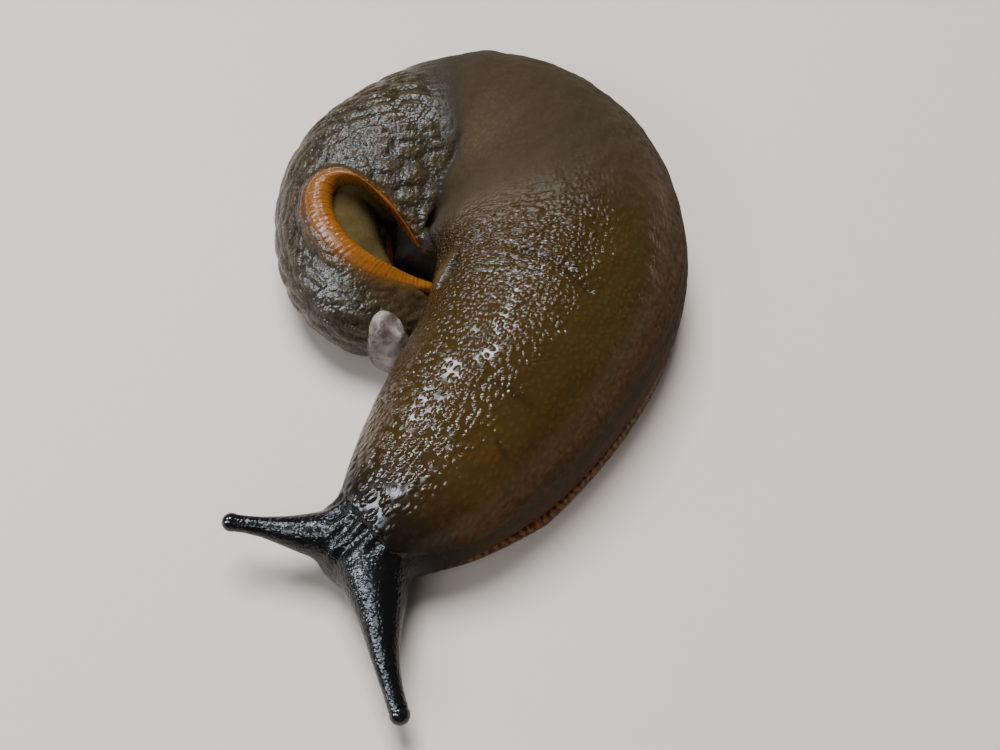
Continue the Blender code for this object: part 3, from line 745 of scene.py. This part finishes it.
# %% Raise the relief
skin_mesh.vertices.foreach_set("co", skin.ravel())
skin_mesh.update()
outward = read(skin_mesh.vertex_normals, "vector", 3)
under = smooth(outward[:, 2], -0.55, -0.85) * smooth(skin[:, 2], 3.0, 1.5)
skin = skin + outward * (lift * (1 - under))[:, None]
skin[:, 2] = np.maximum(skin[:, 2], 0.02)
skin_mesh.vertices.foreach_set("co", (skin * MM).ravel())
skin_mesh.update()
print("skin from", skin.min(0).round(1), "to", skin.max(0).round(1), "mm")

# %% [markdown]
# The masks go onto the mesh as attributes, one number for each point. The materials read
# them, so the markings stay fixed on the skin whatever the camera does.

# %% Masks on the skin


def give(mesh, name, values):
    layer = mesh.attributes.new(name, "FLOAT", "POINT")
    layer.data.foreach_set("value", np.asarray(values, np.float32))


def spot(share_, degrees, share_width, degrees_width):
    """A soft patch round a share of the axis and an angle."""
    off = ((share - share_) / share_width) ** 2 + ((level - degrees) / degrees_width) ** 2
    return np.exp(-off)


inner_bend = np.maximum(smooth(level, 16, -2) * smooth(share, 0.38, 0.42),
                        smooth(level, 30, 14) * smooth(share, 0.415, 0.45))
left_side = smooth(level, 125, 150) * smooth(share, 0.05, 0.10) * smooth(share, 0.64, 0.60)
left_rim = smooth(np.sin(angle), 0.86, 0.25) * smooth(level, 80, 110) * smooth(share, 0.62, 0.42)
masks = {
    "mantle": mantle_tint,
    "smoothness": mantle,
    "hind": hind,
    "head": np.clip(smooth(share, 0.150, 0.055) + on_tentacle, 0, 1),
    # the mantle's far left rim: a fine net in the skin, tinted pinkish as a painted reflection
    # along the grazing rim
    "far_rim_and_reflection": smooth(share, 0.30, 0.50) * smooth(level, 112, 150) * mantle_tint,
    "shade": left_rim * (1 - head),      # the mantle's darker left side
    # painted shadow: the inner side of the bend, painted near black where the gap inside the U
    # lies in shade
    "bend_shadow": inner_bend * smooth(share, 0.655, 0.63),
    "dull": left_side * on_body,         # the left flank, which mirrors nothing
    "band": smooth(level, 120, 94),      # the wet part of the back
    # painted shade: darker colour in the groove behind the mantle
    "valley_shade": hump(share, 0.648, 0.020) * on_body,   # the groove behind the mantle
    "warm": spot(0.43, 60, 0.06, 20),
    "pale": spot(0.575, 62, 0.055, 26),
    "green": spot(0.36, 134, 0.08, 24),
    # the scratches are dark marks on the skin; the crease part is painted shade in the crease
    "marks": np.clip(0.7 * scratches + 0.6 * crease, 0, 1),
    # painted shade: the breathing hole's slit, painted near black
    "slit": slit,
    "lip": lip,
    "skirt": smooth(np.abs(level - 90), 92, 128) * smooth(share, 0.62, 0.66) * on_body,
    "low": smooth(np.sin(angle), 0.30, -0.30) * (1 - head) * smooth(share, 0.64, 0.56),
    # wart height, for the colour: painted shade in the grooves between the warts, painted light
    # on their tops
    "warts": wart_field * hind + (0.40 + 0.22 * flank_field) * flank,
    "share": share,
    "along_mm": along_mm,
    "around_mm": around,
}
for name, values in masks.items():
    give(skin_mesh, name, values)

skin_mesh.name = "skin"
skin_object = linked("skin", finished(skin_mesh))
skin_mesh.calc_loop_triangles()
print("skin triangles", len(skin_mesh.loop_triangles))

# %% [markdown]
# The foot is a slab under the body. Its rim is the fringe, a rounded strip with fine
# ridges across it, and between the two fringes lies the sole. Both are sweeps along the
# same axis, so they meet the skin with no fitting.

# %% The fringe of the foot
FOOT_START = 0.02
FRINGE_ROWS, FRINGE_SIDES = 1150, 18
RIDGE_PITCH, RIDGE_HEIGHT = 0.62, 0.03   # mm
TURNED_UP = (0.62, 0.70)                 # shares between which the foot rolls off the floor


def fringe_grid(side):
    """Rings of one fringe, on the right where the side is 1 and on the left where -1."""
    shares = np.linspace(FOOT_START, 0.996, FRINGE_ROWS)
    section = sections(shares)
    edge = section["foot"][0 if side > 0 else 1]
    if side < 0:
        wider = 0.4 * smooth(shares, 0.03, 0.12) * smooth(shares, 0.62, 0.5)
        edge = edge + (wider + 0.55 * hump(shares, 0.11, 0.065))[:, None]
    turned_up = smooth(shares, *TURNED_UP)[:, None]
    width = section["fringe"] * (1 + 0.45 * turned_up)
    fore_height = 0.3 if side > 0 else 0.6
    fore_height = fore_height * smooth(shares, 0.04, 0.12) * smooth(shares, 0.70, 0.62)
    tail_height = 1.05 * smooth(shares, 0.60, 0.70) * smooth(shares, 1, 0.95)
    tall = section["thick"] + fore_height[:, None] + tail_height[:, None]
    turn = full_turn(FRINGE_SIDES)[None]
    draw = np.random.default_rng(7 if side > 0 else 8)
    uneven = np.interp(shares, np.linspace(0, 1, 160), draw.normal(0, 0.5, 160))
    phase = 2 * math.pi * (shares * AXIS_LENGTH / RIDGE_PITCH + uneven)
    ridge = (np.abs(np.sin(phase / 2)) * RIDGE_HEIGHT)[:, None] * width / FRINGE_WIDTH
    c, s = np.cos(turn), np.sin(turn)
    p = edge - 0.55 * width + (0.55 * width + ridge) * np.sign(c) * np.abs(c) ** 0.8
    q = 0.5 * tall * (1 + np.sign(s) * np.abs(s) ** 0.8 * (1 + ridge)) - section["low"]
    q = q + 0.5 * turned_up * width / FRINGE_WIDTH * np.minimum(s, 0)
    return place(section, side * p, q), shares


fringe_parts, fringe_faces, fringe_count = [], [], 0
for side in (1, -1):
    grid, fringe_shares = fringe_grid(side)
    verts, faces = swept(grid, fringe_count)
    fringe_faces.extend([face[::-1] for face in faces] if side < 0 else faces)
    fringe_parts.append(verts)
    fringe_count += len(verts)
fringe_object = mesh_object("foot_fringe", np.vstack(fringe_parts), fringe_faces)
one_side = np.concatenate([np.repeat(fringe_shares, FRINGE_SIDES), [0, 1]])
give(fringe_object.data, "along_mm", np.tile(one_side * AXIS_LENGTH, 2))
fore = smooth(one_side, 0.62, 0.5)
give(fringe_object.data, "fore", np.concatenate([fore * 0.6, fore]))
print("fringe faces", len(fringe_faces))

# %% [markdown]
# The sole is the pale field between the fringes. It lies flat under the body, and where
# the tail rolls over it faces the camera and swells softly, as the real one does.

# %% The sole
SOLE_ROWS, SOLE_COLUMNS = 420, 30

shares = np.linspace(FOOT_START, 0.994, SOLE_ROWS)
section = sections(shares)
low, thick = section["low"], section["thick"]
right, left = (foot - 0.7 * section["fringe"] for foot in section["foot"])
across = np.linspace(1, -1, SOLE_COLUMNS)[None]
p = np.where(across > 0, right * across, left * across)
top = np.broadcast_to(0.8 * thick - low, p.shape)
turned_up = smooth(shares, *TURNED_UP)[:, None]
domed = (1 - across**2) ** (1 + turned_up)
bottom = 0.12 - low - (0.35 + 1.5 * turned_up) * domed * np.clip(thick, 0, 1)
sole_grid = place(section, np.hstack([p, p[:, ::-1]]), np.hstack([top, bottom]))
sole_object = mesh_object("foot_sole", *swept(sole_grid))
print("sole faces", len(sole_object.data.polygons))

# %% [markdown]
# The eyes sit in the bulbs at the ends of the upper tentacles. Each is a glossy black
# ball, a little wider than the tip, so that it shows as a cap over it.

# %% The eyes
EYE_RADIUS = {"left": 1.09, "right": 1.02}


def ball(rows, columns, gap):
    """Rings of a ball of radius one. The fans of a sweep close the gaps at its poles."""
    polar = np.linspace(gap, math.pi - gap, rows)[:, None]
    turn = full_turn(columns)
    return np.stack([np.sin(polar) * np.cos(turn), np.sin(polar) * np.sin(turn),
                     np.cos(polar) + 0 * turn], axis=2)


def eye(side):
    """A ball round the tip, its poles on the line of the tentacle."""
    _, tip, ahead = tentacles["upper", side]
    across = unit(np.cross(ahead, [0, 0, 1.0]))
    above = np.cross(across, ahead)
    points = tip + ball(22, 32, 0.12) @ np.array([across, above, -ahead]) * EYE_RADIUS[side]
    return mesh_object(side + "_eye", *swept(points))


eyes = {side: eye(side) for side in ("left", "right")}
print("eyes", [thing.name for thing in eyes.values()])

# %% [markdown]
# At the end of the tail a gland gives off clear slime, which sticks there as a small
# cloudy lump. It is the same ball, stretched and pushed out of round by soft noise.

# %% The lump of slime
GLAND_CENTRE = np.array([-12.8, 6.0, 4.7])
GLAND_RADII = np.array([2.8, 2.9, 4.9])
GLAND_UNEVEN = 0.10

points = ball(48, 72, 0.06)
uneven = 1 + GLAND_UNEVEN * waves(points.reshape(-1, 3) * 3 * (1, 1, 0.5), 4.5, 31)
points = points * uneven.reshape(*points.shape[:2], 1) * GLAND_RADII + GLAND_CENTRE
points[..., :2] -= CENTRE
points[..., 2] = np.maximum(points[..., 2], 0.01)
slime_object = mesh_object("tail_slime", *swept(points))
print("slime faces", len(slime_object.data.polygons))

# %% [markdown]
# Materials are built of nodes. Wet skin is dark and glossy, and its gloss breaks up on
# fine granules. The granules, blotches and wrinkles are groups that put out a value, so
# that every material can place them at its own scale. First come a few short words for
# making nodes: an input may be a number, another node's socket or the name of a mask.

# %% Node helpers
SOCKET = bpy.types.NodeSocket


def mask(tree, name):
    return node(tree, "ShaderNodeAttribute", attribute_name=name).outputs["Fac"]


def node(tree, kind, inputs=(), **settings):
    made = tree.nodes.new(kind)
    for key, value in settings.items():
        setattr(made, key, value)
    for key, value in dict(inputs).items():
        if isinstance(value, str):
            value = mask(tree, value)
        if isinstance(value, SOCKET):
            tree.links.new(value, made.inputs[key])
        else:
            made.inputs[key].default_value = value
    return made


def math_node(tree, operation, *values):
    return node(tree, "ShaderNodeMath", dict(enumerate(values)), operation=operation).outputs[0]


def times(tree, product, *factors):
    for factor in factors:
        product = math_node(tree, "MULTIPLY", product, factor)
    return product


def plus(tree, value, more, amount):
    """The value, and more added to it by the amount."""
    return math_node(tree, "MULTIPLY_ADD", more, amount, value)


def scaled(tree, vector, factor):
    inputs = {0: vector, 3: factor}
    return node(tree, "ShaderNodeVectorMath", inputs, operation="SCALE").outputs[0]


def ranged(tree, value, from_min, from_max, to_min=0, to_max=1, **settings):
    """The value, moved from one range to another and held inside it."""
    inputs = dict(enumerate((value, from_min, from_max, to_min, to_max)))
    return node(tree, "ShaderNodeMapRange", inputs, **settings).outputs[0]


def mixed(tree, factor, *colours):
    """Two colours, as sockets or as red, green and blue, mixed by the factor."""
    first, second = (c if isinstance(c, SOCKET) else (*c, 1) for c in colours)
    inputs = {0: factor, 6: first, 7: second}
    return node(tree, "ShaderNodeMix", inputs, data_type="RGBA").outputs[2]


def use(tree, group, **values):
    """The one output of a group that is placed in the tree."""
    inputs = {key.replace("_", " "): value for key, value in values.items()}
    return node(tree, "ShaderNodeGroup", inputs, node_tree=group).outputs[0]


# %% Groups for granules, blotches and wrinkles


def in_mm(tree, size):
    """The place on the object, counted in steps of the size in millimetres."""
    place_ = node(tree, "ShaderNodeTexCoord").outputs["Object"]
    return scaled(tree, place_, math_node(tree, "DIVIDE", 1000, size))


def group_of(name, inputs, output, build):
    """A group with named inputs, and one output that build makes of them."""
    group = bpy.data.node_groups.new(name, "ShaderNodeTree")
    for socket, value in inputs.items():
        kind = "NodeSocketVector" if value is None else "NodeSocketFloat"
        made = group.interface.new_socket(socket, in_out="INPUT", socket_type=kind)
        if value is not None:
            made.default_value = value
    group.interface.new_socket(output, in_out="OUTPUT", socket_type="NodeSocketFloat")
    given = group.nodes.new("NodeGroupInput").outputs
    result = build(group, *(given[socket] for socket in inputs))
    group.links.new(result, group.nodes.new("NodeGroupOutput").inputs[output])
    return group


def granules(tree, place_, size, width):
    """Rounded grains of skin: domes side by side on the two measures of the place."""
    steps = scaled(tree, place_, math_node(tree, "DIVIDE", 1, size))
    warp = node(tree, "ShaderNodeTexNoise", {"Vector": steps, "Scale": 0.5, "Detail": 1.0})
    inputs = {0: warp.outputs["Color"], 1: (0.8, 0.8, 0.8), 2: steps}
    shifted = node(tree, "ShaderNodeVectorMath", inputs, operation="MULTIPLY_ADD").outputs[0]
    inputs = {"Vector": shifted, "Scale": 1, "Randomness": 0.8}
    away = node(tree, "ShaderNodeTexVoronoi", inputs).outputs["Distance"]
    return ranged(tree, away, 0.10, width, 1, 0, interpolation_type="SMOOTHSTEP")


def soft_blotches(tree, size, detail):
    inputs = {"Vector": in_mm(tree, size), "Scale": 1, "Detail": detail}
    return ranged(tree, node(tree, "ShaderNodeTexNoise", inputs).outputs["Fac"], 0.32, 0.68)


def crossing_wrinkles(tree, along, across):
    """Fine wrinkles, long one way, in the skin's own two measures."""
    steps = node(tree, "ShaderNodeCombineXYZ", {
        "X": math_node(tree, "DIVIDE", "along_mm", along),
        "Y": math_node(tree, "DIVIDE", "around_mm", across),
    }).outputs[0]
    inputs = {"Vector": steps, "Scale": 1, "Detail": 2, "Distortion": 0.7}
    noise = node(tree, "ShaderNodeTexNoise", inputs).outputs["Fac"]
    off_middle = math_node(tree, "ABSOLUTE", math_node(tree, "SUBTRACT", noise, 0.5))
    return math_node(tree, "MINIMUM", times(tree, off_middle, 6), 1)


given = {"Place mm": None, "Size mm": 0.6, "Width": 0.62}
GRANULES = group_of("granules", given, "Height", granules)
BLOTCHES = group_of("blotches", {"Size mm": 5, "Detail": 3.0}, "Value", soft_blotches)
WRINKLES = group_of("wrinkles", {"Along mm": 1, "Round mm": 3.0}, "Height", crossing_wrinkles)
print("groups", [group.name for group in (GRANULES, BLOTCHES, WRINKLES)])

# %% [markdown]
# Each material has one Principled shader. What is the same all over the surface is set
# on its sockets, and only what varies is led into them through nodes.

# %% Materials with a shader of their own
WET_IOR = 1.36


def blotches(tree, size, detail):
    return use(tree, BLOTCHES, Size_mm=size, Detail=detail)


def material(name, colour, roughness, **extra):
    made = bpy.data.materials.new(name)
    made.use_nodes = True
    shader = made.node_tree.nodes["Principled BSDF"]
    shader.inputs["Base Color"].default_value = (*colour, 1)
    shader.inputs["Roughness"].default_value = roughness
    for key, value in extra.items():
        shader.inputs[key.replace("_", " ")].default_value = value
    return made, made.node_tree, shader


def feed(shader, **sources):
    """Leads what varies over the surface into the shader's sockets."""
    for key, value in sources.items():
        shader.id_data.links.new(value, shader.inputs[key.replace("_", " ")])


def bump(tree, shader, height, depth_mm):
    made = node(tree, "ShaderNodeBump", {"Height": height, "Distance": depth_mm * MM})
    feed(shader, Normal=made.outputs["Normal"])


# %% [markdown]
# The skin's colours follow the real animal: olive brown over the mantle, near black
# towards the head and on the tentacles, dark olive grey on the rough hind back, and
# a pinkish brown band low on the flanks. Masks lay one colour over the other. Some of
# the coats are painted shade and light: between the granules and the warts, along the
# crease, in the slit, in the bend, in the valley behind the mantle and over the left
# flank, with a painted reflection on the far rim.

# %% Colours of the skin


def coated(tree, colour, coats):
    """Colour after colour laid over the first, as far as its mask and strength say."""
    for amount, over, strength in coats:
        colour = mixed(tree, times(tree, amount, strength), colour, over)
    return colour


def skin_colour(tree, broad, fine, tiny, grooves):
    dark = mixed(tree, tiny, (0.038, 0.0140, 0.0045), (0.105, 0.046, 0.020))
    # the far rim's fine net; its pinkish tint is a painted reflection
    net = mixed(tree, tiny, (0.027, 0.018, 0.009), (0.070, 0.050, 0.036))
    band = mixed(tree, fine, (0.044, 0.0130, 0.0040), (0.070, 0.0230, 0.009))
    olive = mixed(tree, broad, (0.054, 0.0293, 0.0078), (0.074, 0.0403, 0.0098))
    olive = coated(tree, olive, [
        (fine, (0.040, 0.027, 0.007), 0.35),
        (ranged(tree, "share", 0.32, 0.50), (0.035, 0.0235, 0.0062), 0.9),
        ("warm", (0.095, 0.050, 0.009), 0.45),
        ("pale", (0.082, 0.057, 0.029), 0.8),
        ("green", (0.048, 0.044, 0.011), 0.75),
        # painted shade in the grooves between the granules
        (grooves, (0.026, 0.017, 0.006), 0.35),
        ("shade", dark, 0.9),
        # painted reflection: the pinkish net on the far rim
        ("far_rim_and_reflection", net, 0.75),
    ])
    # dark between the warts and lighter on their tops: painted shade and painted light
    rest = mixed(tree, "warts", (0.018, 0.0130, 0.0055), (0.056, 0.041, 0.019))
    rest = coated(tree, rest, [
        (fine, (0.066, 0.046, 0.027), 0.4),
        # painted shade in the groove behind the mantle
        ("valley_shade", (0.020, 0.016, 0.008), 0.7),
        ("skirt", (0.13, 0.055, 0.012), 0.75),
        ("low", band, 1),
    ])
    return coated(tree, mixed(tree, "mantle", rest, olive), [
        ("head", (0.0045, 0.0045, 0.0052), 1),
        # painted shadow, near black, in the gap inside the bend
        ("bend_shadow", (0.009, 0.0045, 0.002), 0.97),
        # dark scratches, and painted shade along the crease
        ("marks", (0.020, 0.014, 0.006), 1),
        ("lip", (0.135, 0.098, 0.050), 0.6),
        # painted shade inside the breathing hole's slit
        ("slit", (0.006, 0.005, 0.003), 1),
    ])


# %% [markdown]
# The skin is wettest from the head to the middle of the mantle, and duller round the
# bend and down the left flank, so the roughness is put together from masks. The bump
# carries only what is too fine for the mesh: granules before, bumps and wrinkles behind.

# %% The skin's material


def skin_roughness(tree, fine):
    rough = ranged(tree, "share", 0.385, 0.475, 0.11, 0.72)
    rough = math_node(tree, "ADD", rough, ranged(tree, "share", 0.455, 0.53, 0, 0.25))
    rough = plus(tree, rough, "hind", -0.71)
    rough = math_node(tree, "MAXIMUM", rough, times(tree, "dull", 0.93))
    rough = plus(tree, plus(tree, rough, "valley_shade", 0.35), "head", 0.10)
    for name in ("bend_shadow", "slit"):
        rough = math_node(tree, "MAXIMUM", rough, name)
    return plus(tree, rough, fine, 0.04)


def skin_height(tree, grains):
    small, bumps = (
        use(tree, GRANULES, Place_mm=in_mm(tree, 1), Size_mm=size, Width=0.7)
        for size in (0.42, 0.85)
    )
    deep = times(tree, ranged(tree, "share", 0.40, 0.49, 1, 0.08),
                 ranged(tree, "band", 0, 1, 0.35, 1), "smoothness",
                 ranged(tree, "lip", 0.1, 0.6, 1, 0.1))
    height = times(tree, grains, deep)
    height = plus(tree, height, bumps, times(tree, "hind", 0.34))
    height = plus(tree, height, small, ranged(tree, "smoothness", 0, 1, 0.26, 0))
    creased = times(tree, ranged(tree, "share", 0.28, 0.37), "smoothness",
                    ranged(tree, "share", 0.42, 0.50, 1, 0), "band")
    wrinkles = use(tree, WRINKLES, Along_mm=1.1, Round_mm=3.2)
    height = plus(tree, height, wrinkles, creased)
    uneven = ranged(tree, "share", 0.22, 0.34, 0, 0.5)
    return plus(tree, height, blotches(tree, 1.3, 1), uneven)


def skin_material():
    made, tree, shader = material("wet_skin", (0.08, 0.06, 0.03), 0.3, IOR=WET_IOR)
    fine = blotches(tree, 1.6, 4)
    on_skin = node(tree, "ShaderNodeCombineXYZ", {
        "X": math_node(tree, "DIVIDE", "along_mm", 1.25), "Y": "around_mm",
    }).outputs[0]
    size = ranged(tree, "share", 0.10, 0.40, 0.86, 0.60)
    grains = use(tree, GRANULES, Place_mm=on_skin, Size_mm=size, Width=0.60)
    # grooves: where the granules dip, which the colour darkens as painted shade
    grooves = math_node(tree, "SUBTRACT", 1, grains)
    colour = skin_colour(tree, blotches(tree, 9, 3), fine, blotches(tree, 0.6, 2), grooves)
    feed(shader, Base_Color=colour, Roughness=skin_roughness(tree, fine))
    bump(tree, shader, skin_height(tree, grains), 0.14)
    return made


# %% [markdown]
# The fringe of this slug is orange, with fine dark lines across it that are bolder
# before the bend. They are sines of the way along the axis, so they cross the strip
# squarely wherever it turns. The sole is a plain pale olive, and the eyes are black.

# %% The foot's materials, and the eyes'
LINE_PITCH, TICK_PITCH = 0.55, 0.9       # mm


def fringe_material():
    made, tree, shader = material("foot_fringe", (0.3, 0.1, 0.015), 0.24, IOR=WET_IOR)
    lines = math_node(tree, "SINE", times(tree, "along_mm", 2 * math.pi / LINE_PITCH))
    fine = blotches(tree, 0.8, 3)
    marks = times(tree, ranged(tree, lines, -1, 1), fine)
    colour = mixed(tree, marks, (0.27, 0.098, 0.016), (0.155, 0.052, 0.008))
    uneven = times(tree, blotches(tree, 1.8, 2), 4.5)
    ticks = math_node(tree, "SINE", plus(tree, uneven, "along_mm", 2 * math.pi / TICK_PITCH))
    dark = times(tree, ranged(tree, ticks, -0.6, 0.6, 0.86, 0.12), "fore")
    feed(shader, Base_Color=mixed(tree, dark, colour, (0.020, 0.013, 0.008)))
    bump(tree, shader, plus(tree, lines, fine, 4), 0.008)
    return made


def sole_material():
    made, tree, shader = material("foot_sole", (0.13, 0.105, 0.05), 0.22, IOR=WET_IOR)
    broad = blotches(tree, 3, 3)
    feed(shader, Base_Color=mixed(tree, broad, (0.078, 0.058, 0.022), (0.125, 0.097, 0.040)))
    bump(tree, shader, blotches(tree, 0.5, 1), 0.03)
    return made


def eye_material():
    made, tree, shader = material("eye_black", (0.004, 0.004, 0.005), 0.12, IOR=1.45)
    fine = blotches(tree, 0.5, 2)
    feed(shader, Base_Color=mixed(tree, fine, (0.003, 0.003, 0.004), (0.010, 0.010, 0.012)))
    return made


# %% [markdown]
# Slime is nearly clear water with cloudy threads in it. The cloud is thick where it is
# pale and thinner where it is dark, so one noise makes both its colour and its alpha.

# %% The slime's material


def slime_material():
    made, tree, shader = material("slime", (0.5, 0.46, 0.44), 0.12, IOR=1.33,
                                  Transmission_Weight=0.2)
    cloud = blotches(tree, 2.4, 3)
    feed(shader, Base_Color=mixed(tree, cloud, (0.22, 0.18, 0.16), (0.60, 0.55, 0.52)),
         Alpha=ranged(tree, cloud, 0, 1, 0.34, 0.80))
    bump(tree, shader, cloud, 0.3)
    return made


SKIN = skin_material()
FRINGE = fringe_material()
SOLE = sole_material()
EYE = eye_material()
SLIME = slime_material()
print("materials", [made.name for made in (SKIN, FRINGE, SOLE, EYE, SLIME)])

# %% [markdown]
# Every piece rides on the one body of the frame, replaces the nodes that it stands for
# and takes its own material.

# %% Join the pieces to the frame
LENGTHS = ("front", "middle", "rear", "turn", "tail")
FLESH = ["head", "neck", "mantle", "body_front", "body_middle", "body_rear", "body_turn", "tail"]
SIDES = ("left", "right")
TENTACLES = [f"tentacle_{pair}_{side}" for pair in ("upper", "lower") for side in SIDES]
pieces = [
    (skin_object, SKIN, "mantle_skin", FLESH + TENTACLES),
    (fringe_object, FRINGE, "foot_fringe",
     [f"fringe_{side}_{name}" for side in SIDES for name in LENGTHS]),
    (sole_object, SOLE, "foot_sole", [f"sole_{name}" for name in LENGTHS]),
    (eyes["left"], EYE, "eye", ["eye_left"]),
    (eyes["right"], EYE, "eye", ["eye_right"]),
    (slime_object, SLIME, "gland", ["tail_gland"]),
]
for piece, finish, slot, nodes in pieces:
    piece.data.materials.clear()
    piece.data.materials.append(finish)
    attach(piece, "root")
    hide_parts(*nodes)
print("pieces", [piece.name for piece, *_ in pieces])

# %% [markdown]
# The studio has a pale floor and plain soft light. A large key and a fill light all that
# is dull, and the wet skin doesn't mirror them. Small bright discs do the opposite: they
# show only in the wet skin, and their places decide where the bright band runs on it.

# %% Floor and world
FLOOR_SIZE = 1.2
FLOOR_COLOUR = (0.74, 0.68, 0.64)
WORLD_COLOUR, WORLD_STRENGTH = (1.0, 0.94, 0.88, 1), 0.09

half = FLOOR_SIZE / 2
corners = [(-half, -half, 0), (half, -half, 0), (half, half, 0), (-half, half, 0)]
floor = mesh_object("floor", corners, [(0, 1, 2, 3)], 1.0)
floor.data.materials.append(material("floor_pale", FLOOR_COLOUR, 0.6)[0])

world = bpy.data.worlds.new("studio")
world.use_nodes = True
background = world.node_tree.nodes["Background"].inputs
background["Color"].default_value = WORLD_COLOUR
background["Strength"].default_value = WORLD_STRENGTH
bpy.context.scene.world = world
print("floor", FLOOR_SIZE, "m wide, world", WORLD_STRENGTH)

# %% Lamps
LAMPS = [  # name, bearing from +Y towards +X, elevation, distance m, size m, radiance, mirrored
    ("key", -15, 66, 0.9, 0.5, 19, False),
    ("fill", 212, 48, 0.9, 0.6, 2.8, False),
    ("sky", -28, 59, 0.6, 0.17, 42, True),
    ("sky_left", -62, 43, 0.6, 0.15, 36, True),
    ("sky_low", -106, 44, 0.6, 0.16, 40, True),
    ("sky_edge", -102, 26, 0.6, 0.15, 34, True),
    ("sky_back", -130, 60, 0.6, 0.18, 12, True),
]
SKY = (0.82, 0.91, 1.0)
DAYLIGHT = (1.0, 0.97, 0.93)


def add_lamp(name, bearing, elevation, distance, size, radiance, mirrored):
    """A disc lamp, seen either in the wet skin alone or by all that is dull."""
    bearing, elevation = math.radians(bearing), math.radians(elevation)
    level = math.cos(elevation)
    way = Vector((math.sin(bearing) * level, math.cos(bearing) * level, math.sin(elevation)))
    data = bpy.data.lights.new(name, "AREA")
    data.shape = "DISK"
    data.size = size
    data.energy = radiance * math.pi * math.pi * size * size / 4
    data.color = SKY if mirrored else DAYLIGHT
    lamp = linked(name, data)
    lamp.location = way * distance
    lamp.rotation_euler = (-way).to_track_quat("-Z", "Y").to_euler()
    lamp.visible_glossy = mirrored
    lamp.visible_diffuse = not mirrored


for lamp in LAMPS:
    add_lamp(*lamp)
print("lamps", len(LAMPS))
